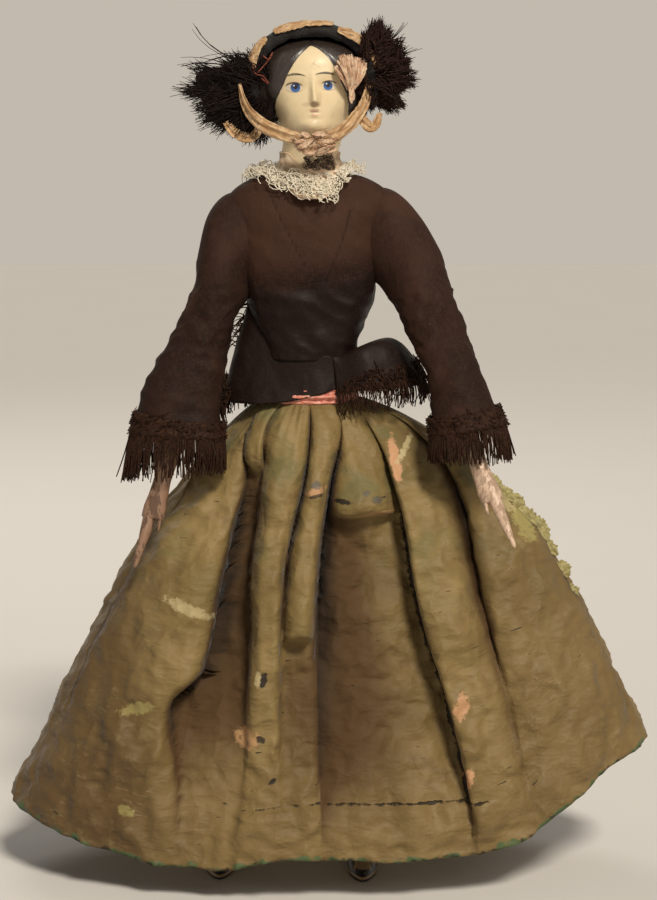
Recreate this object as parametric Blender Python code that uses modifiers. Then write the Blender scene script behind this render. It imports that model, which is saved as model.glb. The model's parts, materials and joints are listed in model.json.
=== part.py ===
"""A dressed papier-mache doll with a kid body, carved wooden limbs and a gathered silk skirt.

The doll faces -Y and stands on its soles at Z = 0. Its own left side is at +X.
Everything is modelled round the doll's own axis, and one empty carries it to the middle of its box.
"""

import math

import bmesh
import bpy
from mathutils import Matrix, Vector

MM = 0.001

# Fits and material thicknesses
FIT = 0.3 * MM
KID_T = 0.8 * MM
PAPIER_T = 1.6 * MM
PAPER_T = 0.4 * MM
JACKET_T = 0.8 * MM
SKIRT_T = 0.7 * MM
PETTICOAT_T = 0.6 * MM
BAND_T = 0.7 * MM
SASH_T = 0.5 * MM
RIBBON_T = 0.5 * MM
LACE_T = 0.6 * MM
FRINGE_T = 1.2 * MM
CAP_T = 0.8 * MM

# Place of the doll's axis in its own box
AXIS_X = -7 * MM
AXIS_Y = 3.3 * MM

# Joints
SHOULDER_X = 31 * MM
SHOULDER_Z = 236 * MM
HIP_X = 10.5 * MM
HIP_Z = 154 * MM

# Kid body
HIP_HALF_WIDTH = 18.5 * MM
HIP_HALF_DEPTH = 12.5 * MM
WAIST_HALF_WIDTH = 13.2 * MM
WAIST_HALF_DEPTH = 10.4 * MM
WAIST_Z = 192 * MM
CHEST_HALF_WIDTH = 19.5 * MM
CHEST_HALF_DEPTH = 11.6 * MM
CHEST_DROP = 19 * MM
CHEST_Z = SHOULDER_Z - CHEST_DROP
BODY_TOP_RISE = 7 * MM
BODY_TOP_Z = SHOULDER_Z + BODY_TOP_RISE

# Arms
ARM_R = 6 * MM
ARM_END_R = 5 * MM
ELBOW_D = 58 * MM
ARM_PEG_LENGTH = 7 * MM
FOREARM_R = 4.6 * MM
WRIST_R = 3.3 * MM
WRIST_D = 95 * MM
PALM_HALF_WIDTH = 4.2 * MM
PALM_HALF_DEPTH = 2.3 * MM
ARM_LENGTH = 125 * MM
THUMB_R = 1.3 * MM
THUMB_LENGTH = 13 * MM
BAND_LENGTH = 6 * MM
ARM_OUT_ANGLE = {"right": 14.5, "left": 20.5}
ARM_FORWARD_ANGLE = {"right": 15.0, "left": 26.0}

# Legs
THIGH_R = 7.5 * MM
THIGH_END_R = 5.8 * MM
KNEE_D = 66 * MM
LEG_PEG_LENGTH = 8 * MM
CALF_R = 5.4 * MM
ANKLE_R = 3.5 * MM
ANKLE_Z = 11 * MM
SHOE_HALF_WIDTH = 5.9 * MM
SHOE_FRONT = 20 * MM
SHOE_BACK = 12 * MM
SHOE_WALL = 1.2 * MM
ANKLE_X = {"right": -33.5 * MM, "left": 19.5 * MM}
ANKLE_Y = {"right": -6 * MM, "left": -9 * MM}

# Shoulder head
PLATE_DROP = 9 * MM
PLATE_BOTTOM_Z = SHOULDER_Z - PLATE_DROP
PLATE_HALF_WIDTH = 23.2 * MM
PLATE_HALF_DEPTH = 13.5 * MM
PLATE_NOTCH_R = 8.6 * MM
NECK_HALF_WIDTH = 10.5 * MM
NECK_HALF_DEPTH = 9.9 * MM
NECK_RISE = 29 * MM
NECK_Z = SHOULDER_Z + NECK_RISE
HEAD_X = 1.2 * MM
HEAD_HALF_WIDTH = 17.9 * MM
HEAD_FRONT = 15.8 * MM
HEAD_BACK = 19.6 * MM
CHIN_RISE = 8.5 * MM
CHIN_Z = NECK_Z + CHIN_RISE
HEAD_HEIGHT = 34.5 * MM
CROWN_Z = CHIN_Z + HEAD_HEIGHT
NOSE_SHARE = 0.362
NOSE_Z = CHIN_Z + HEAD_HEIGHT * NOSE_SHARE
NOSE_LENGTH = 2.2 * MM
NOSE_HALF_HEIGHT = 3 * MM

# Jacket
ARMHOLE_X = 24 * MM
ARMHOLE_R = 8.8 * MM
JACKET_WAIST_HALF_WIDTH = 16.6 * MM
JACKET_WAIST_HALF_DEPTH = 13.4 * MM
JACKET_CHEST_HALF_WIDTH = 23.2 * MM
JACKET_CHEST_HALF_DEPTH = 13.9 * MM
JACKET_SHOULDER_HALF_WIDTH = 28 * MM
JACKET_SHOULDER_HALF_DEPTH = 14.3 * MM
NECKLINE_DROP = 8.5 * MM
NECKLINE_Z = NECK_Z - NECKLINE_DROP
SLEEVE_R = 12.6 * MM
SLEEVE_MID_HALF_WIDTH = 11.2 * MM
SLEEVE_MID_HALF_DEPTH = 9.4 * MM
SLEEVE_MID_D = 38 * MM
CUFF_HALF_WIDTH = 17.6 * MM
CUFF_HALF_DEPTH = 8.6 * MM
CUFF_D = 80 * MM
FRINGE_LENGTH = 13 * MM
FRINGE_HEADING = 7 * MM
FRINGE_RIB = 0.5 * MM
PEPLUM_DROP = 13 * MM
PEPLUM_FRINGE_LENGTH = 9 * MM

# Skirt and petticoat
SKIRT_TOP_Z = 177.5 * MM
BAND_HEIGHT = 7 * MM
SASH_HEIGHT = 5.5 * MM
HEM_RIGHT_X = 112 * MM
HEM_LEFT_X = 126.5 * MM
HEM_FRONT_Y = 58 * MM
HEM_BACK_Y = 52 * MM
HEM_RIGHT_Z = 25 * MM
HEM_LEFT_Z = 48 * MM
HEM_FRONT_Z = 15.5 * MM
SKIRT_SWELL = {"right": 0.68, "left": 0.38, "front": 0.6}
SKIRT_EASE = 0.04
PETTICOAT_REACH = 0.93
PETTICOAT_SCALE = 0.95
PETTICOAT_DROP = 2.5 * MM
FOLD_DEPTH = 8 * MM

# Headdress
CAP_FRONT_Y = -1.8 * MM
CAP_EDGE_SHARE = 0.304
CAP_EDGE_Z = CHIN_Z + HEAD_HEIGHT * CAP_EDGE_SHARE
ROLL_R = 2.6 * MM
ROLL_Y = -6.2 * MM
ROLL_CENTRE_SHARE = 0.507
ROLL_CENTRE_Z = CHIN_Z + HEAD_HEIGHT * ROLL_CENTRE_SHARE
ROLL_SQUARENESS = 0.86
RIBBON_WIDTH = 5 * MM
TUFT_REACH = {"right": 46 * MM, "left": 37.2 * MM}
TUFT_HALF_HEIGHT = {"right": 12.5 * MM, "left": 15 * MM}
TUFT_HALF_DEPTH = {"right": 4.5 * MM, "left": 6 * MM}
TUFT_RISE = {"right": -1 * MM, "left": 5.5 * MM}
TUFT_Y = -5 * MM
ROSETTE_HALF_WIDTH = 4.8 * MM
ROSETTE_HALF_HEIGHT = 7.4 * MM
ROSETTE_THICKNESS = 2.6 * MM

# Facets
BODY_SIDES = 16
LIMB_SIDES = 10
THUMB_SIDES = 8
SHOE_SIDES = 16
HEAD_SIDES = 20
BAND_SIDES = 24
SLEEVE_SIDES = 16
FRINGE_SIDES = 28
PETTICOAT_SIDES = 28
BALL_SEGMENTS = 12

SIDES = {"right": -1, "left": 1}
X_AXIS = Vector((1, 0, 0))
Y_AXIS = Vector((0, 1, 0))

# Colour, roughness and metallic value of each material
FINISHES = {
    "papier_mache": ((0.74, 0.60, 0.40), 0.45, 0.0),
    "kid": ((0.62, 0.50, 0.36), 0.7, 0.0),
    "sawdust": ((0.50, 0.36, 0.20), 0.95, 0.0),
    "painted_wood": ((0.55, 0.38, 0.30), 0.5, 0.0),
    "paper_strip": ((0.35, 0.10, 0.09), 0.8, 0.0),
    "cotton": ((0.70, 0.66, 0.56), 0.9, 0.0),
    "olive_silk": ((0.26, 0.22, 0.10), 0.5, 0.0),
    "brown_silk": ((0.035, 0.020, 0.014), 0.55, 0.0),
    "brown_fringe": ((0.040, 0.020, 0.012), 0.7, 0.0),
    "pink_ribbon": ((0.60, 0.20, 0.13), 0.5, 0.0),
    "cream_ribbon": ((0.72, 0.48, 0.27), 0.5, 0.0),
    "cream_cloth": ((0.72, 0.56, 0.38), 0.8, 0.0),
    "white_lace": ((0.78, 0.72, 0.58), 0.9, 0.0),
    "black_net": ((0.012, 0.010, 0.010), 0.6, 0.0),
    "dark_plume": ((0.020, 0.010, 0.008), 0.8, 0.0),
}


def clear_scene():
    for obj in list(bpy.data.objects):
        bpy.data.objects.remove(obj, do_unlink=True)


def new_collection(name):
    collection = bpy.data.collections.new(name)
    bpy.context.scene.collection.children.link(collection)
    return collection


def material(name):
    if name in bpy.data.materials:
        return bpy.data.materials[name]
    colour, roughness, metallic = FINISHES[name]
    made = bpy.data.materials.new(name)
    made.use_nodes = True
    shader = made.node_tree.nodes["Principled BSDF"]
    shader.inputs["Base Color"].default_value = (*colour, 1)
    shader.inputs["Roughness"].default_value = roughness
    shader.inputs["Metallic"].default_value = metallic
    return made


def empty(name, place, parent=None):
    made = bpy.data.objects.new(name, None)
    made.location = place
    made.parent = parent
    doll.objects.link(made)
    return made


def add_piece(name, bm, finish, parent, smooth_angle=50):
    """Stores a mesh built in the doll's frame as an object whose origin is its parent empty."""
    if parent is not root:
        bmesh.ops.translate(bm, verts=bm.verts, vec=-parent.location)
    mesh = bpy.data.meshes.new(name)
    bm.to_mesh(mesh)
    bm.free()
    mesh.materials.append(material(finish))
    mesh.shade_smooth()
    mesh.set_sharp_from_angle(angle=math.radians(smooth_angle))
    obj = bpy.data.objects.new(name, mesh)
    obj.parent = parent
    doll.objects.link(obj)
    return obj


def add_cutter(name, bm, parent=None):
    mesh = bpy.data.meshes.new(name)
    bm.to_mesh(mesh)
    bm.free()
    obj = bpy.data.objects.new(name, mesh)
    obj.parent = parent or root
    obj.hide_render = True
    obj.display_type = "WIRE"
    cutters.objects.link(obj)
    return obj


def cut(obj, cutter, operation="DIFFERENCE"):
    modifier = obj.modifiers.new(f"{operation.lower()} {cutter.name}", "BOOLEAN")
    modifier.operation = operation
    modifier.object = cutter


def thicken(obj, thickness, outward):
    """Gives an open cloth or skin surface its thickness, outwards or inwards."""
    modifier = obj.modifiers.new("thickness", "SOLIDIFY")
    modifier.thickness = thickness
    modifier.offset = 1 if outward else -1
    modifier.use_even_offset = True


def ring(centre, half_width, front, back, sides, across=X_AXIS, depth=Y_AXIS):
    """Points round an oval whose front half and back half may differ."""
    points = []
    for i in range(sides):
        angle = 2 * math.pi * i / sides
        reach = back if math.sin(angle) > 0 else front
        points.append(centre + across * half_width * math.cos(angle) + depth * reach * math.sin(angle))
    return points


def loft(rings, cap_first=False, cap_last=False, closed=True):
    """Skins rows of equal length. The faces of a tube point away from its middle."""
    bm = bmesh.new()
    rows = [[bm.verts.new(p) for p in points] for points in rings]
    count = len(rows[0])
    for low, high in zip(rows, rows[1:]):
        for i in range(count if closed else count - 1):
            j = (i + 1) % count
            bm.faces.new((low[i], low[j], high[j], high[i]))
    if cap_first:
        bm.faces.new(reversed(rows[0]))
    if cap_last:
        bm.faces.new(rows[-1])
    if closed:
        middle = [sum(points, Vector()) / count for points in rings]
        along = middle[-1] - middle[0]
        turn = (rings[0][0] - middle[0]).cross(rings[0][1] - middle[0])
        if turn.dot(along) < 0:
            bmesh.ops.reverse_faces(bm, faces=bm.faces)
    return bm


def profile_at(profile, z):
    """Half width, front and back of a body profile at a height, between its own levels."""
    for low, high in zip(profile, profile[1:]):
        if low[0] <= z <= high[0]:
            share = (z - low[0]) / (high[0] - low[0])
            return [a + (b - a) * share for a, b in zip(low[1:], high[1:])]
    return list((profile[0] if z < profile[0][0] else profile[-1])[1:])


def profile_rings(profile, sides, grow=0.0, x=0.0):
    return [ring(Vector((x, 0, z)), w + grow, f + grow, b + grow, sides) for z, w, f, b in profile]


def ball(name, centre, radius, parent=None):
    """A ball whose flats, and not its corners, keep the radius."""
    bm = bmesh.new()
    reach = radius / math.cos(math.pi / BALL_SEGMENTS)
    bmesh.ops.create_uvsphere(bm, u_segments=BALL_SEGMENTS, v_segments=BALL_SEGMENTS, radius=reach)
    bmesh.ops.translate(bm, verts=bm.verts, vec=centre)
    return add_cutter(name, bm, parent)


def bar(name, radius, first, last):
    """A round bar across the doll at shoulder height, from one x to another."""
    bm = bmesh.new()
    turn = Matrix.Rotation(math.radians(90), 4, "Y")
    place = Matrix.Translation(((first + last) / 2, 0, SHOULDER_Z))
    bmesh.ops.create_cone(
        bm,
        cap_ends=True,
        segments=BAND_SIDES,
        radius1=radius,
        radius2=radius,
        depth=abs(last - first),
        matrix=place @ turn,
    )
    return add_cutter(name, bm)


def block(name, low, high):
    bm = bmesh.new()
    bmesh.ops.create_cube(bm, size=1)
    size = Vector(high) - Vector(low)
    bmesh.ops.scale(bm, verts=bm.verts, vec=size)
    bmesh.ops.translate(bm, verts=bm.verts, vec=(Vector(low) + Vector(high)) / 2)
    return add_cutter(name, bm)


def smooth_path(points, steps):
    """A smooth curve through hand-picked points, as steps points for each stretch."""
    ends = [points[0] * 2 - points[1], *points, points[-1] * 2 - points[-2]]
    path = []
    for a, b, c, d in zip(ends, ends[1:], ends[2:], ends[3:]):
        for i in range(steps):
            t = i / steps
            path.append(
                b + (c - a) * t / 2 + (a * 2 - b * 5 + c * 4 - d) * t * t / 2 + (b * 3 - a - c * 3 + d) * t**3 / 2
            )
    return [*path, points[-1]]


def ribbon(name, points, width, thickness, finish, facing, steps=4):
    """A flat ribbon along a smooth path by the head, its flat side turned the way that facing gives."""
    path = smooth_path([head_place(p) for p in points], steps)
    rings = []
    for i, point in enumerate(path):
        along = (path[min(i + 1, len(path) - 1)] - path[max(i - 1, 0)]).normalized()
        out = facing(point)
        out = (out - out.project(along)).normalized()
        across = out.cross(along)
        half, thin = across * width / 2, out * thickness / 2
        rings.append([point - half - thin, point + half - thin, point + half + thin, point - half + thin])
    return add_piece(name, loft(rings, True, True), finish, root)


def from_head_axis(point):
    return Vector((point.x - HEAD_X, point.y, 0))


# Profiles of the body, head and jacket: height, half width, front, back


def body_profile():
    shoulder = SHOULDER_X - ARM_R - FIT
    rise = SKIRT_TOP_Z - HIP_Z
    slope = ARM_R * 0.667
    ribs_z = (WAIST_Z + CHEST_Z) / 2
    plain = (
        (HIP_Z - rise * 0.04, HIP_HALF_WIDTH * 0.78, HIP_HALF_DEPTH * 0.75),
        (HIP_Z + rise * 0.085, HIP_HALF_WIDTH * 0.93, HIP_HALF_DEPTH * 0.93),
        (HIP_Z + rise * 0.34, HIP_HALF_WIDTH, HIP_HALF_DEPTH),
        (HIP_Z + rise * 0.68, HIP_HALF_WIDTH * 0.86, HIP_HALF_DEPTH * 0.93),
        (SKIRT_TOP_Z + BAND_HEIGHT / 2, WAIST_HALF_WIDTH * 1.08, WAIST_HALF_DEPTH * 1.05),
        (WAIST_Z, WAIST_HALF_WIDTH, WAIST_HALF_DEPTH),
        (ribs_z, (WAIST_HALF_WIDTH + CHEST_HALF_WIDTH) / 2, (WAIST_HALF_DEPTH + CHEST_HALF_DEPTH) / 2),
        (CHEST_Z, CHEST_HALF_WIDTH, CHEST_HALF_DEPTH),
        (PLATE_BOTTOM_Z, CHEST_HALF_WIDTH * 1.01, CHEST_HALF_DEPTH),
        (SHOULDER_Z - slope, CHEST_HALF_WIDTH * 1.03, CHEST_HALF_DEPTH * 0.92),
        (SHOULDER_Z, shoulder, CHEST_HALF_DEPTH * 0.8),
        (SHOULDER_Z + slope, shoulder * 0.75, CHEST_HALF_DEPTH * 0.68),
        (BODY_TOP_Z, shoulder * 0.4, CHEST_HALF_DEPTH * 0.6),
    )
    return [(z, w, d, d) for z, w, d in plain]


def plate_profile():
    """Outside of the shoulder plate, from its lower edge to the neck."""
    rise = NECK_Z - SHOULDER_Z
    slope = (
        (0.0, 1.0, 0.0),
        (0.17, 0.97, 0.15),
        (0.36, 0.87, 0.3),
        (0.50, 0.59, 0.45),
        (0.63, 0.27, 0.7),
        (0.76, 0.09, 0.9),
        (1.0, 0.0, 1.0),
    )
    rings = [(PLATE_BOTTOM_Z, PLATE_HALF_WIDTH * 0.95, PLATE_HALF_DEPTH)]
    for share, width, depth in slope:
        w = NECK_HALF_WIDTH + (PLATE_HALF_WIDTH - NECK_HALF_WIDTH) * width
        d = PLATE_HALF_DEPTH * 0.88 + (NECK_HALF_DEPTH - PLATE_HALF_DEPTH * 0.88) * depth
        rings.append((SHOULDER_Z + rise * share, w, d))
    return [(z, w, d, d) for z, w, d in rings]


def head_profile(grow=0.0):
    """Outside of the head above the neck, with the chin standing forward of it."""
    height = CROWN_Z - CHIN_Z
    shape = (
        (0.00, 0.62, 0.88, 0.60),
        (0.07, 0.69, 0.98, 0.71),
        (0.18, 0.77, 1.00, 0.82),
        (0.32, 0.88, 1.00, 0.92),
        (0.46, 0.96, 1.00, 0.98),
        (0.60, 1.00, 0.99, 1.00),
        (0.74, 0.97, 0.93, 0.95),
        (0.85, 0.86, 0.80, 0.83),
        (0.93, 0.64, 0.60, 0.61),
        (0.98, 0.34, 0.32, 0.32),
        (1.00, 0.12, 0.11, 0.11),
    )
    return [
        (
            CHIN_Z + height * s + grow * s * s,
            HEAD_HALF_WIDTH * w + grow,
            HEAD_FRONT * f + grow,
            HEAD_BACK * b + grow,
        )
        for s, w, f, b in shape
    ]


def jacket_profile():
    """Inside of the jacket: its own waist and chest, then the shoulder plate with room to lie on it."""
    middle = (WAIST_Z + CHEST_Z) / 2
    ribs_z = WAIST_Z + (CHEST_Z - WAIST_Z) * 0.66
    own = [
        (WAIST_Z, JACKET_WAIST_HALF_WIDTH, JACKET_WAIST_HALF_DEPTH),
        ((WAIST_Z + middle) / 2, JACKET_WAIST_HALF_WIDTH * 1.04, JACKET_WAIST_HALF_DEPTH * 1.01),
        (ribs_z, JACKET_CHEST_HALF_WIDTH * 0.86, JACKET_CHEST_HALF_DEPTH * 0.985),
        (CHEST_Z + (PLATE_BOTTOM_Z - CHEST_Z) * 0.2, JACKET_CHEST_HALF_WIDTH, JACKET_CHEST_HALF_DEPTH),
    ]
    rings = [(z, w, d, d) for z, w, d in own]
    for z, w, f, b in plate_profile():
        if z < SHOULDER_Z + ARM_R:
            depth = max(f + FIT * 1.5, JACKET_SHOULDER_HALF_DEPTH)
            rings.append((z, max(w, JACKET_SHOULDER_HALF_WIDTH), depth, depth))
        elif z < NECKLINE_Z - FIT * 6:
            rings.append((z + FIT * 1.5, w + FIT * 1.5, f + FIT * 1.5, b + FIT * 1.5))
    w, f, b = profile_at(plate_profile(), NECKLINE_Z)
    rings.append((NECKLINE_Z + FIT, w + FIT * 1.5, f + FIT * 1.5, b + FIT * 1.5))
    return rings


# Body and limbs


def make_torso():
    leg_seats = [
        ball(f"leg_seat_{side}", Vector((sign * HIP_X, 0, HIP_Z)), THIGH_R + FIT * 2)
        for side, sign in SIDES.items()
    ]
    skin = add_piece("torso_skin", loft(profile_rings(body_profile(), BODY_SIDES), True), "kid", root)
    thicken(skin, KID_T, outward=False)
    inset = KID_T + FIT
    core = []
    for z, w, f, b in body_profile():
        deep = inset if z < SHOULDER_Z else inset * 4
        core.append((z if z < SHOULDER_Z else z - inset, w - deep, f - deep, b - deep))
    core[0] = (core[0][0] + inset, *core[0][1:])
    stuffing = add_piece(
        "torso_stuffing", loft(profile_rings(core, BODY_SIDES), True, True), "sawdust", root
    )
    for seat in leg_seats:
        cut(skin, seat)
        cut(stuffing, seat)


def limb_axes(direction):
    depth = (Y_AXIS - Y_AXIS.project(direction)).normalized()
    return direction.cross(depth).normalized(), depth


def limb_rings(origin, direction, stations, sides):
    """Ovals square to a limb: distance from its joint, half width and half depth of each."""
    across, depth = limb_axes(direction)
    return [ring(origin + direction * d, w, h, h, sides, across, depth) for d, w, h in stations]


def dome(radius):
    """Stations of the round top of a limb, a half ball about its joint."""
    angles = [math.radians(a) for a in (78, 50, 24, 0)]
    return [(-radius * math.sin(a), radius * math.cos(a), radius * math.cos(a)) for a in angles]


def shrink(stations, by):
    return [(d + (by if d < 0 else 0), w - by, h - by) for d, w, h in stations]


def make_stuffed_limb(name, side, joint, direction, radius, end_radius, end, peg):
    """A kid tube, closed and round at its joint, open where the wooden limb goes in, with its stuffing."""
    swell = radius * 1.03
    between = (swell + end_radius) / 2
    stations = dome(radius) + [(end * 0.3, swell, swell), (end * 0.7, between, between)]
    open_end = [(end, end_radius, end_radius)]
    skin = add_piece(
        f"{name}_skin_{side}",
        loft(limb_rings(joint.location, direction, stations + open_end, LIMB_SIDES), True),
        "kid",
        joint,
    )
    thicken(skin, KID_T, outward=False)
    inside = shrink(stations, KID_T + FIT)
    last = inside[-1][1] + (end_radius - stations[-1][1]) * 0.5
    inside.append((end - peg - FIT, last, last))
    add_piece(
        f"{name}_stuffing_{side}",
        loft(limb_rings(joint.location, direction, inside, LIMB_SIDES), True, True),
        "sawdust",
        joint,
    )


def make_paper_band(name, joint, direction, at, radius):
    """A paper strip glued round the place where kid meets wood."""
    inner = radius + FIT
    stations = [(at - BAND_LENGTH / 2, inner, inner), (at + BAND_LENGTH / 2, inner, inner)]
    band = add_piece(
        name, loft(limb_rings(joint.location, direction, stations, SHOE_SIDES)), "paper_strip", joint
    )
    thicken(band, PAPER_T, outward=True)


def arm_direction(side):
    out = math.tan(math.radians(ARM_OUT_ANGLE[side])) * SIDES[side]
    forward = math.tan(math.radians(ARM_FORWARD_ANGLE[side]))
    return Vector((out, -forward, -1)).normalized()


def make_forearm(side, joint):
    """A carved wooden forearm with a flat mitten hand and a separate thumb."""
    direction = arm_direction(side)
    across, depth = limb_axes(direction)
    peg_r = ARM_END_R - KID_T - FIT
    hand = ARM_LENGTH - WRIST_D
    stations = [
        (ELBOW_D - ARM_PEG_LENGTH, peg_r, peg_r),
        (ELBOW_D + FIT, peg_r, peg_r),
        (ELBOW_D + FIT * 2, FOREARM_R, FOREARM_R),
        ((ELBOW_D + WRIST_D) / 2, (FOREARM_R + WRIST_R) / 2, (FOREARM_R + WRIST_R) / 2),
        (WRIST_D, WRIST_R, WRIST_R * 0.85),
        (WRIST_D + hand * 0.28, PALM_HALF_WIDTH, PALM_HALF_DEPTH),
        (WRIST_D + hand * 0.5, PALM_HALF_WIDTH * 0.9, PALM_HALF_DEPTH * 0.85),
        (WRIST_D + hand * 0.8, PALM_HALF_WIDTH * 0.66, PALM_HALF_DEPTH * 0.65),
        (ARM_LENGTH, PALM_HALF_WIDTH * 0.3, PALM_HALF_DEPTH * 0.4),
    ]
    forearm = add_piece(
        f"forearm_{side}",
        loft(limb_rings(joint.location, direction, stations, LIMB_SIDES), True, True),
        "painted_wood",
        joint,
    )
    inward = -SIDES[side]
    start = direction * (WRIST_D + hand * 0.16) + across * inward * PALM_HALF_WIDTH * 0.55
    lean = (direction + across * inward * 0.22 - depth * 0.12).normalized()
    root_of_thumb = joint.location + start - depth * PALM_HALF_DEPTH * 0.2
    thumb_stations = [
        (0, THUMB_R * 0.9, THUMB_R * 0.9),
        (THUMB_LENGTH * 0.55, THUMB_R, THUMB_R),
        (THUMB_LENGTH, THUMB_R * 0.6, THUMB_R * 0.6),
    ]
    bm = loft(limb_rings(root_of_thumb, lean, thumb_stations, THUMB_SIDES), True, True)
    bmesh.ops.translate(bm, verts=bm.verts, vec=-joint.location)
    cut(forearm, add_cutter(f"thumb_{side}", bm, joint), "UNION")


def make_arm(side, joint):
    direction = arm_direction(side)
    make_stuffed_limb("upper_arm", side, joint, direction, ARM_R, ARM_END_R, ELBOW_D, ARM_PEG_LENGTH)
    make_forearm(side, joint)
    widest = ARM_END_R + (ARM_R - ARM_END_R) * BAND_LENGTH / ELBOW_D
    make_paper_band(f"elbow_band_{side}", joint, direction, ELBOW_D, max(widest, FOREARM_R))


def ankle(side):
    return Vector((ANKLE_X[side], ANKLE_Y[side], ANKLE_Z))


def make_lower_leg(side, joint):
    """A turned wooden shin that ends in a carved flat shoe."""
    hip = joint.location
    reach = ankle(side) - hip
    direction, length = reach.normalized(), reach.length
    peg_r = THIGH_END_R - KID_T - FIT
    shin = length - KNEE_D
    stations = [
        (KNEE_D - LEG_PEG_LENGTH, peg_r, peg_r),
        (KNEE_D + FIT, peg_r, peg_r),
        (KNEE_D + FIT * 2, CALF_R * 0.95, CALF_R * 0.95),
        (KNEE_D + shin * 0.25, CALF_R, CALF_R),
        (KNEE_D + shin * 0.75, ANKLE_R * 1.1, ANKLE_R * 1.1),
    ]
    rings = limb_rings(hip, direction, stations, SHOE_SIDES)
    foot = (
        (1.0, ANKLE_R / SHOE_HALF_WIDTH, ANKLE_R / SHOE_FRONT, ANKLE_R / SHOE_BACK),
        (0.66, 0.78, 0.45, 0.66),
        (0.42, 0.95, 0.80, 0.95),
        (SHOE_WALL / ANKLE_Z, 1.0, 1.0, 1.0),
        (0.0, 0.90, 0.95, 0.90),
    )
    for level, w, f, b in foot:
        centre = Vector((ANKLE_X[side], ANKLE_Y[side], ANKLE_Z * level))
        rings.append(ring(centre, SHOE_HALF_WIDTH * w, SHOE_FRONT * f, SHOE_BACK * b, SHOE_SIDES))
    add_piece(f"lower_leg_{side}", loft(rings, True, True), "painted_wood", joint)


def make_leg(side, joint):
    direction = (ankle(side) - joint.location).normalized()
    make_stuffed_limb("thigh", side, joint, direction, THIGH_R, THIGH_END_R, KNEE_D, LEG_PEG_LENGTH)
    make_lower_leg(side, joint)
    widest = THIGH_END_R + (THIGH_R - THIGH_END_R) * BAND_LENGTH / KNEE_D
    make_paper_band(f"knee_band_{side}", joint, direction, KNEE_D, max(widest, CALF_R))


# Shoulder head


def head_outline(grow=0.0):
    """Neck and head rings, the neck centred on the doll's axis and the head on its own."""
    neck = [(z, w + grow, f + grow, b + grow) for z, w, f, b in plate_profile()]
    rings = profile_rings(neck, HEAD_SIDES)
    rings += profile_rings(head_profile(grow), HEAD_SIDES, x=HEAD_X)
    return rings


def make_shoulder_head():
    """One papier-mache casting: head, neck and shoulder plate, hollow and open below."""
    rings = head_outline()
    front = HEAD_SIDES * 3 // 4
    for points in rings:
        lift = math.exp(-(((points[0].z - NOSE_Z) / NOSE_HALF_HEIGHT) ** 2))
        points[front].y -= NOSE_LENGTH * lift
    head = add_piece("shoulder_head", loft(rings, True, True), "papier_mache", root)
    neck = [(z, w - PAPIER_T, f - PAPIER_T, b - PAPIER_T) for z, w, f, b in plate_profile()]
    neck.insert(0, (PLATE_BOTTOM_Z - PAPIER_T, *neck[0][1:]))
    hollow = profile_rings(neck, HEAD_SIDES)
    skull = head_profile(-PAPIER_T * 1.5)[1:-2]
    hollow += profile_rings(skull, HEAD_SIDES, x=HEAD_X)
    cut(head, add_cutter("head_hollow", loft(hollow, True, True)))
    cut(head, bar("arm_notch", PLATE_NOTCH_R, -SHOULDER_X * 2, SHOULDER_X * 2))


# Skirts


def waist_oval(layers):
    """Half width and half depth of the kid waist under the bands, grown by the layers over it."""
    low, high = SKIRT_TOP_Z, SKIRT_TOP_Z + BAND_HEIGHT
    at = [profile_at(body_profile(), z) for z in (low, (low + high) / 2, high)]
    return max(w for w, _, _ in at) + layers, max(f for _, f, _ in at) + layers


PETTICOAT_LAYER = FIT * 2
SKIRT_LAYER = PETTICOAT_LAYER + PETTICOAT_T + FIT
SASH_LAYER = SKIRT_LAYER + BAND_T + FIT

# Main folds of the skirt: angle round the waist from the doll's left, and share of the fold depth out or in
FRONT_FOLDS = (
    (180, 0.12), (205, -0.38), (219, -0.75), (231, 0.5), (240, 0), (247, -1), (254, 0.38), (261, -0.38),
    (268, 0.38), (277, -1), (287, 0.38), (293, -0.62), (299, 0.62), (309, -0.75), (328, 0.38), (345, -0.12),
)  # fmt: skip
BACK_FOLD_STEP = 15
BACK_FOLD = 0.38


def folds():
    back = [(a, BACK_FOLD if i % 2 else -BACK_FOLD) for i, a in enumerate(range(0, 180, BACK_FOLD_STEP))]
    return [*back, *FRONT_FOLDS]


def fold_samples():
    """The fold line round the skirt: each fold's own angle and the middle of the slope to the next."""
    line = folds()
    samples = []
    for (a, out), (b, next_out) in zip(line, [*line[1:], (360 + line[0][0], line[0][1])]):
        samples.append((math.radians(a), out * FOLD_DEPTH))
        samples.append((math.radians((a + b) / 2), (out + next_out) / 2 * FOLD_DEPTH))
    return samples


def fold_swell(t):
    """How far the folds stand out: flat at the band, full above the knees, nearly flat at the hem."""
    s = t**0.7
    return 4 * s * (1 - s) * 0.9 + 0.12 * t


def skirt_spread(angle, t):
    """How far the cloth has spread from waist to hem: fast on the doll's left, slower on its right."""
    c, s = math.cos(angle), math.sin(angle)
    power = SKIRT_SWELL["left" if c > 0 else "right"] * c * c + SKIRT_SWELL["front"] * s * s
    start = SKIRT_EASE**power
    return ((t + SKIRT_EASE) ** power - start) / ((1 + SKIRT_EASE) ** power - start)


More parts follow.
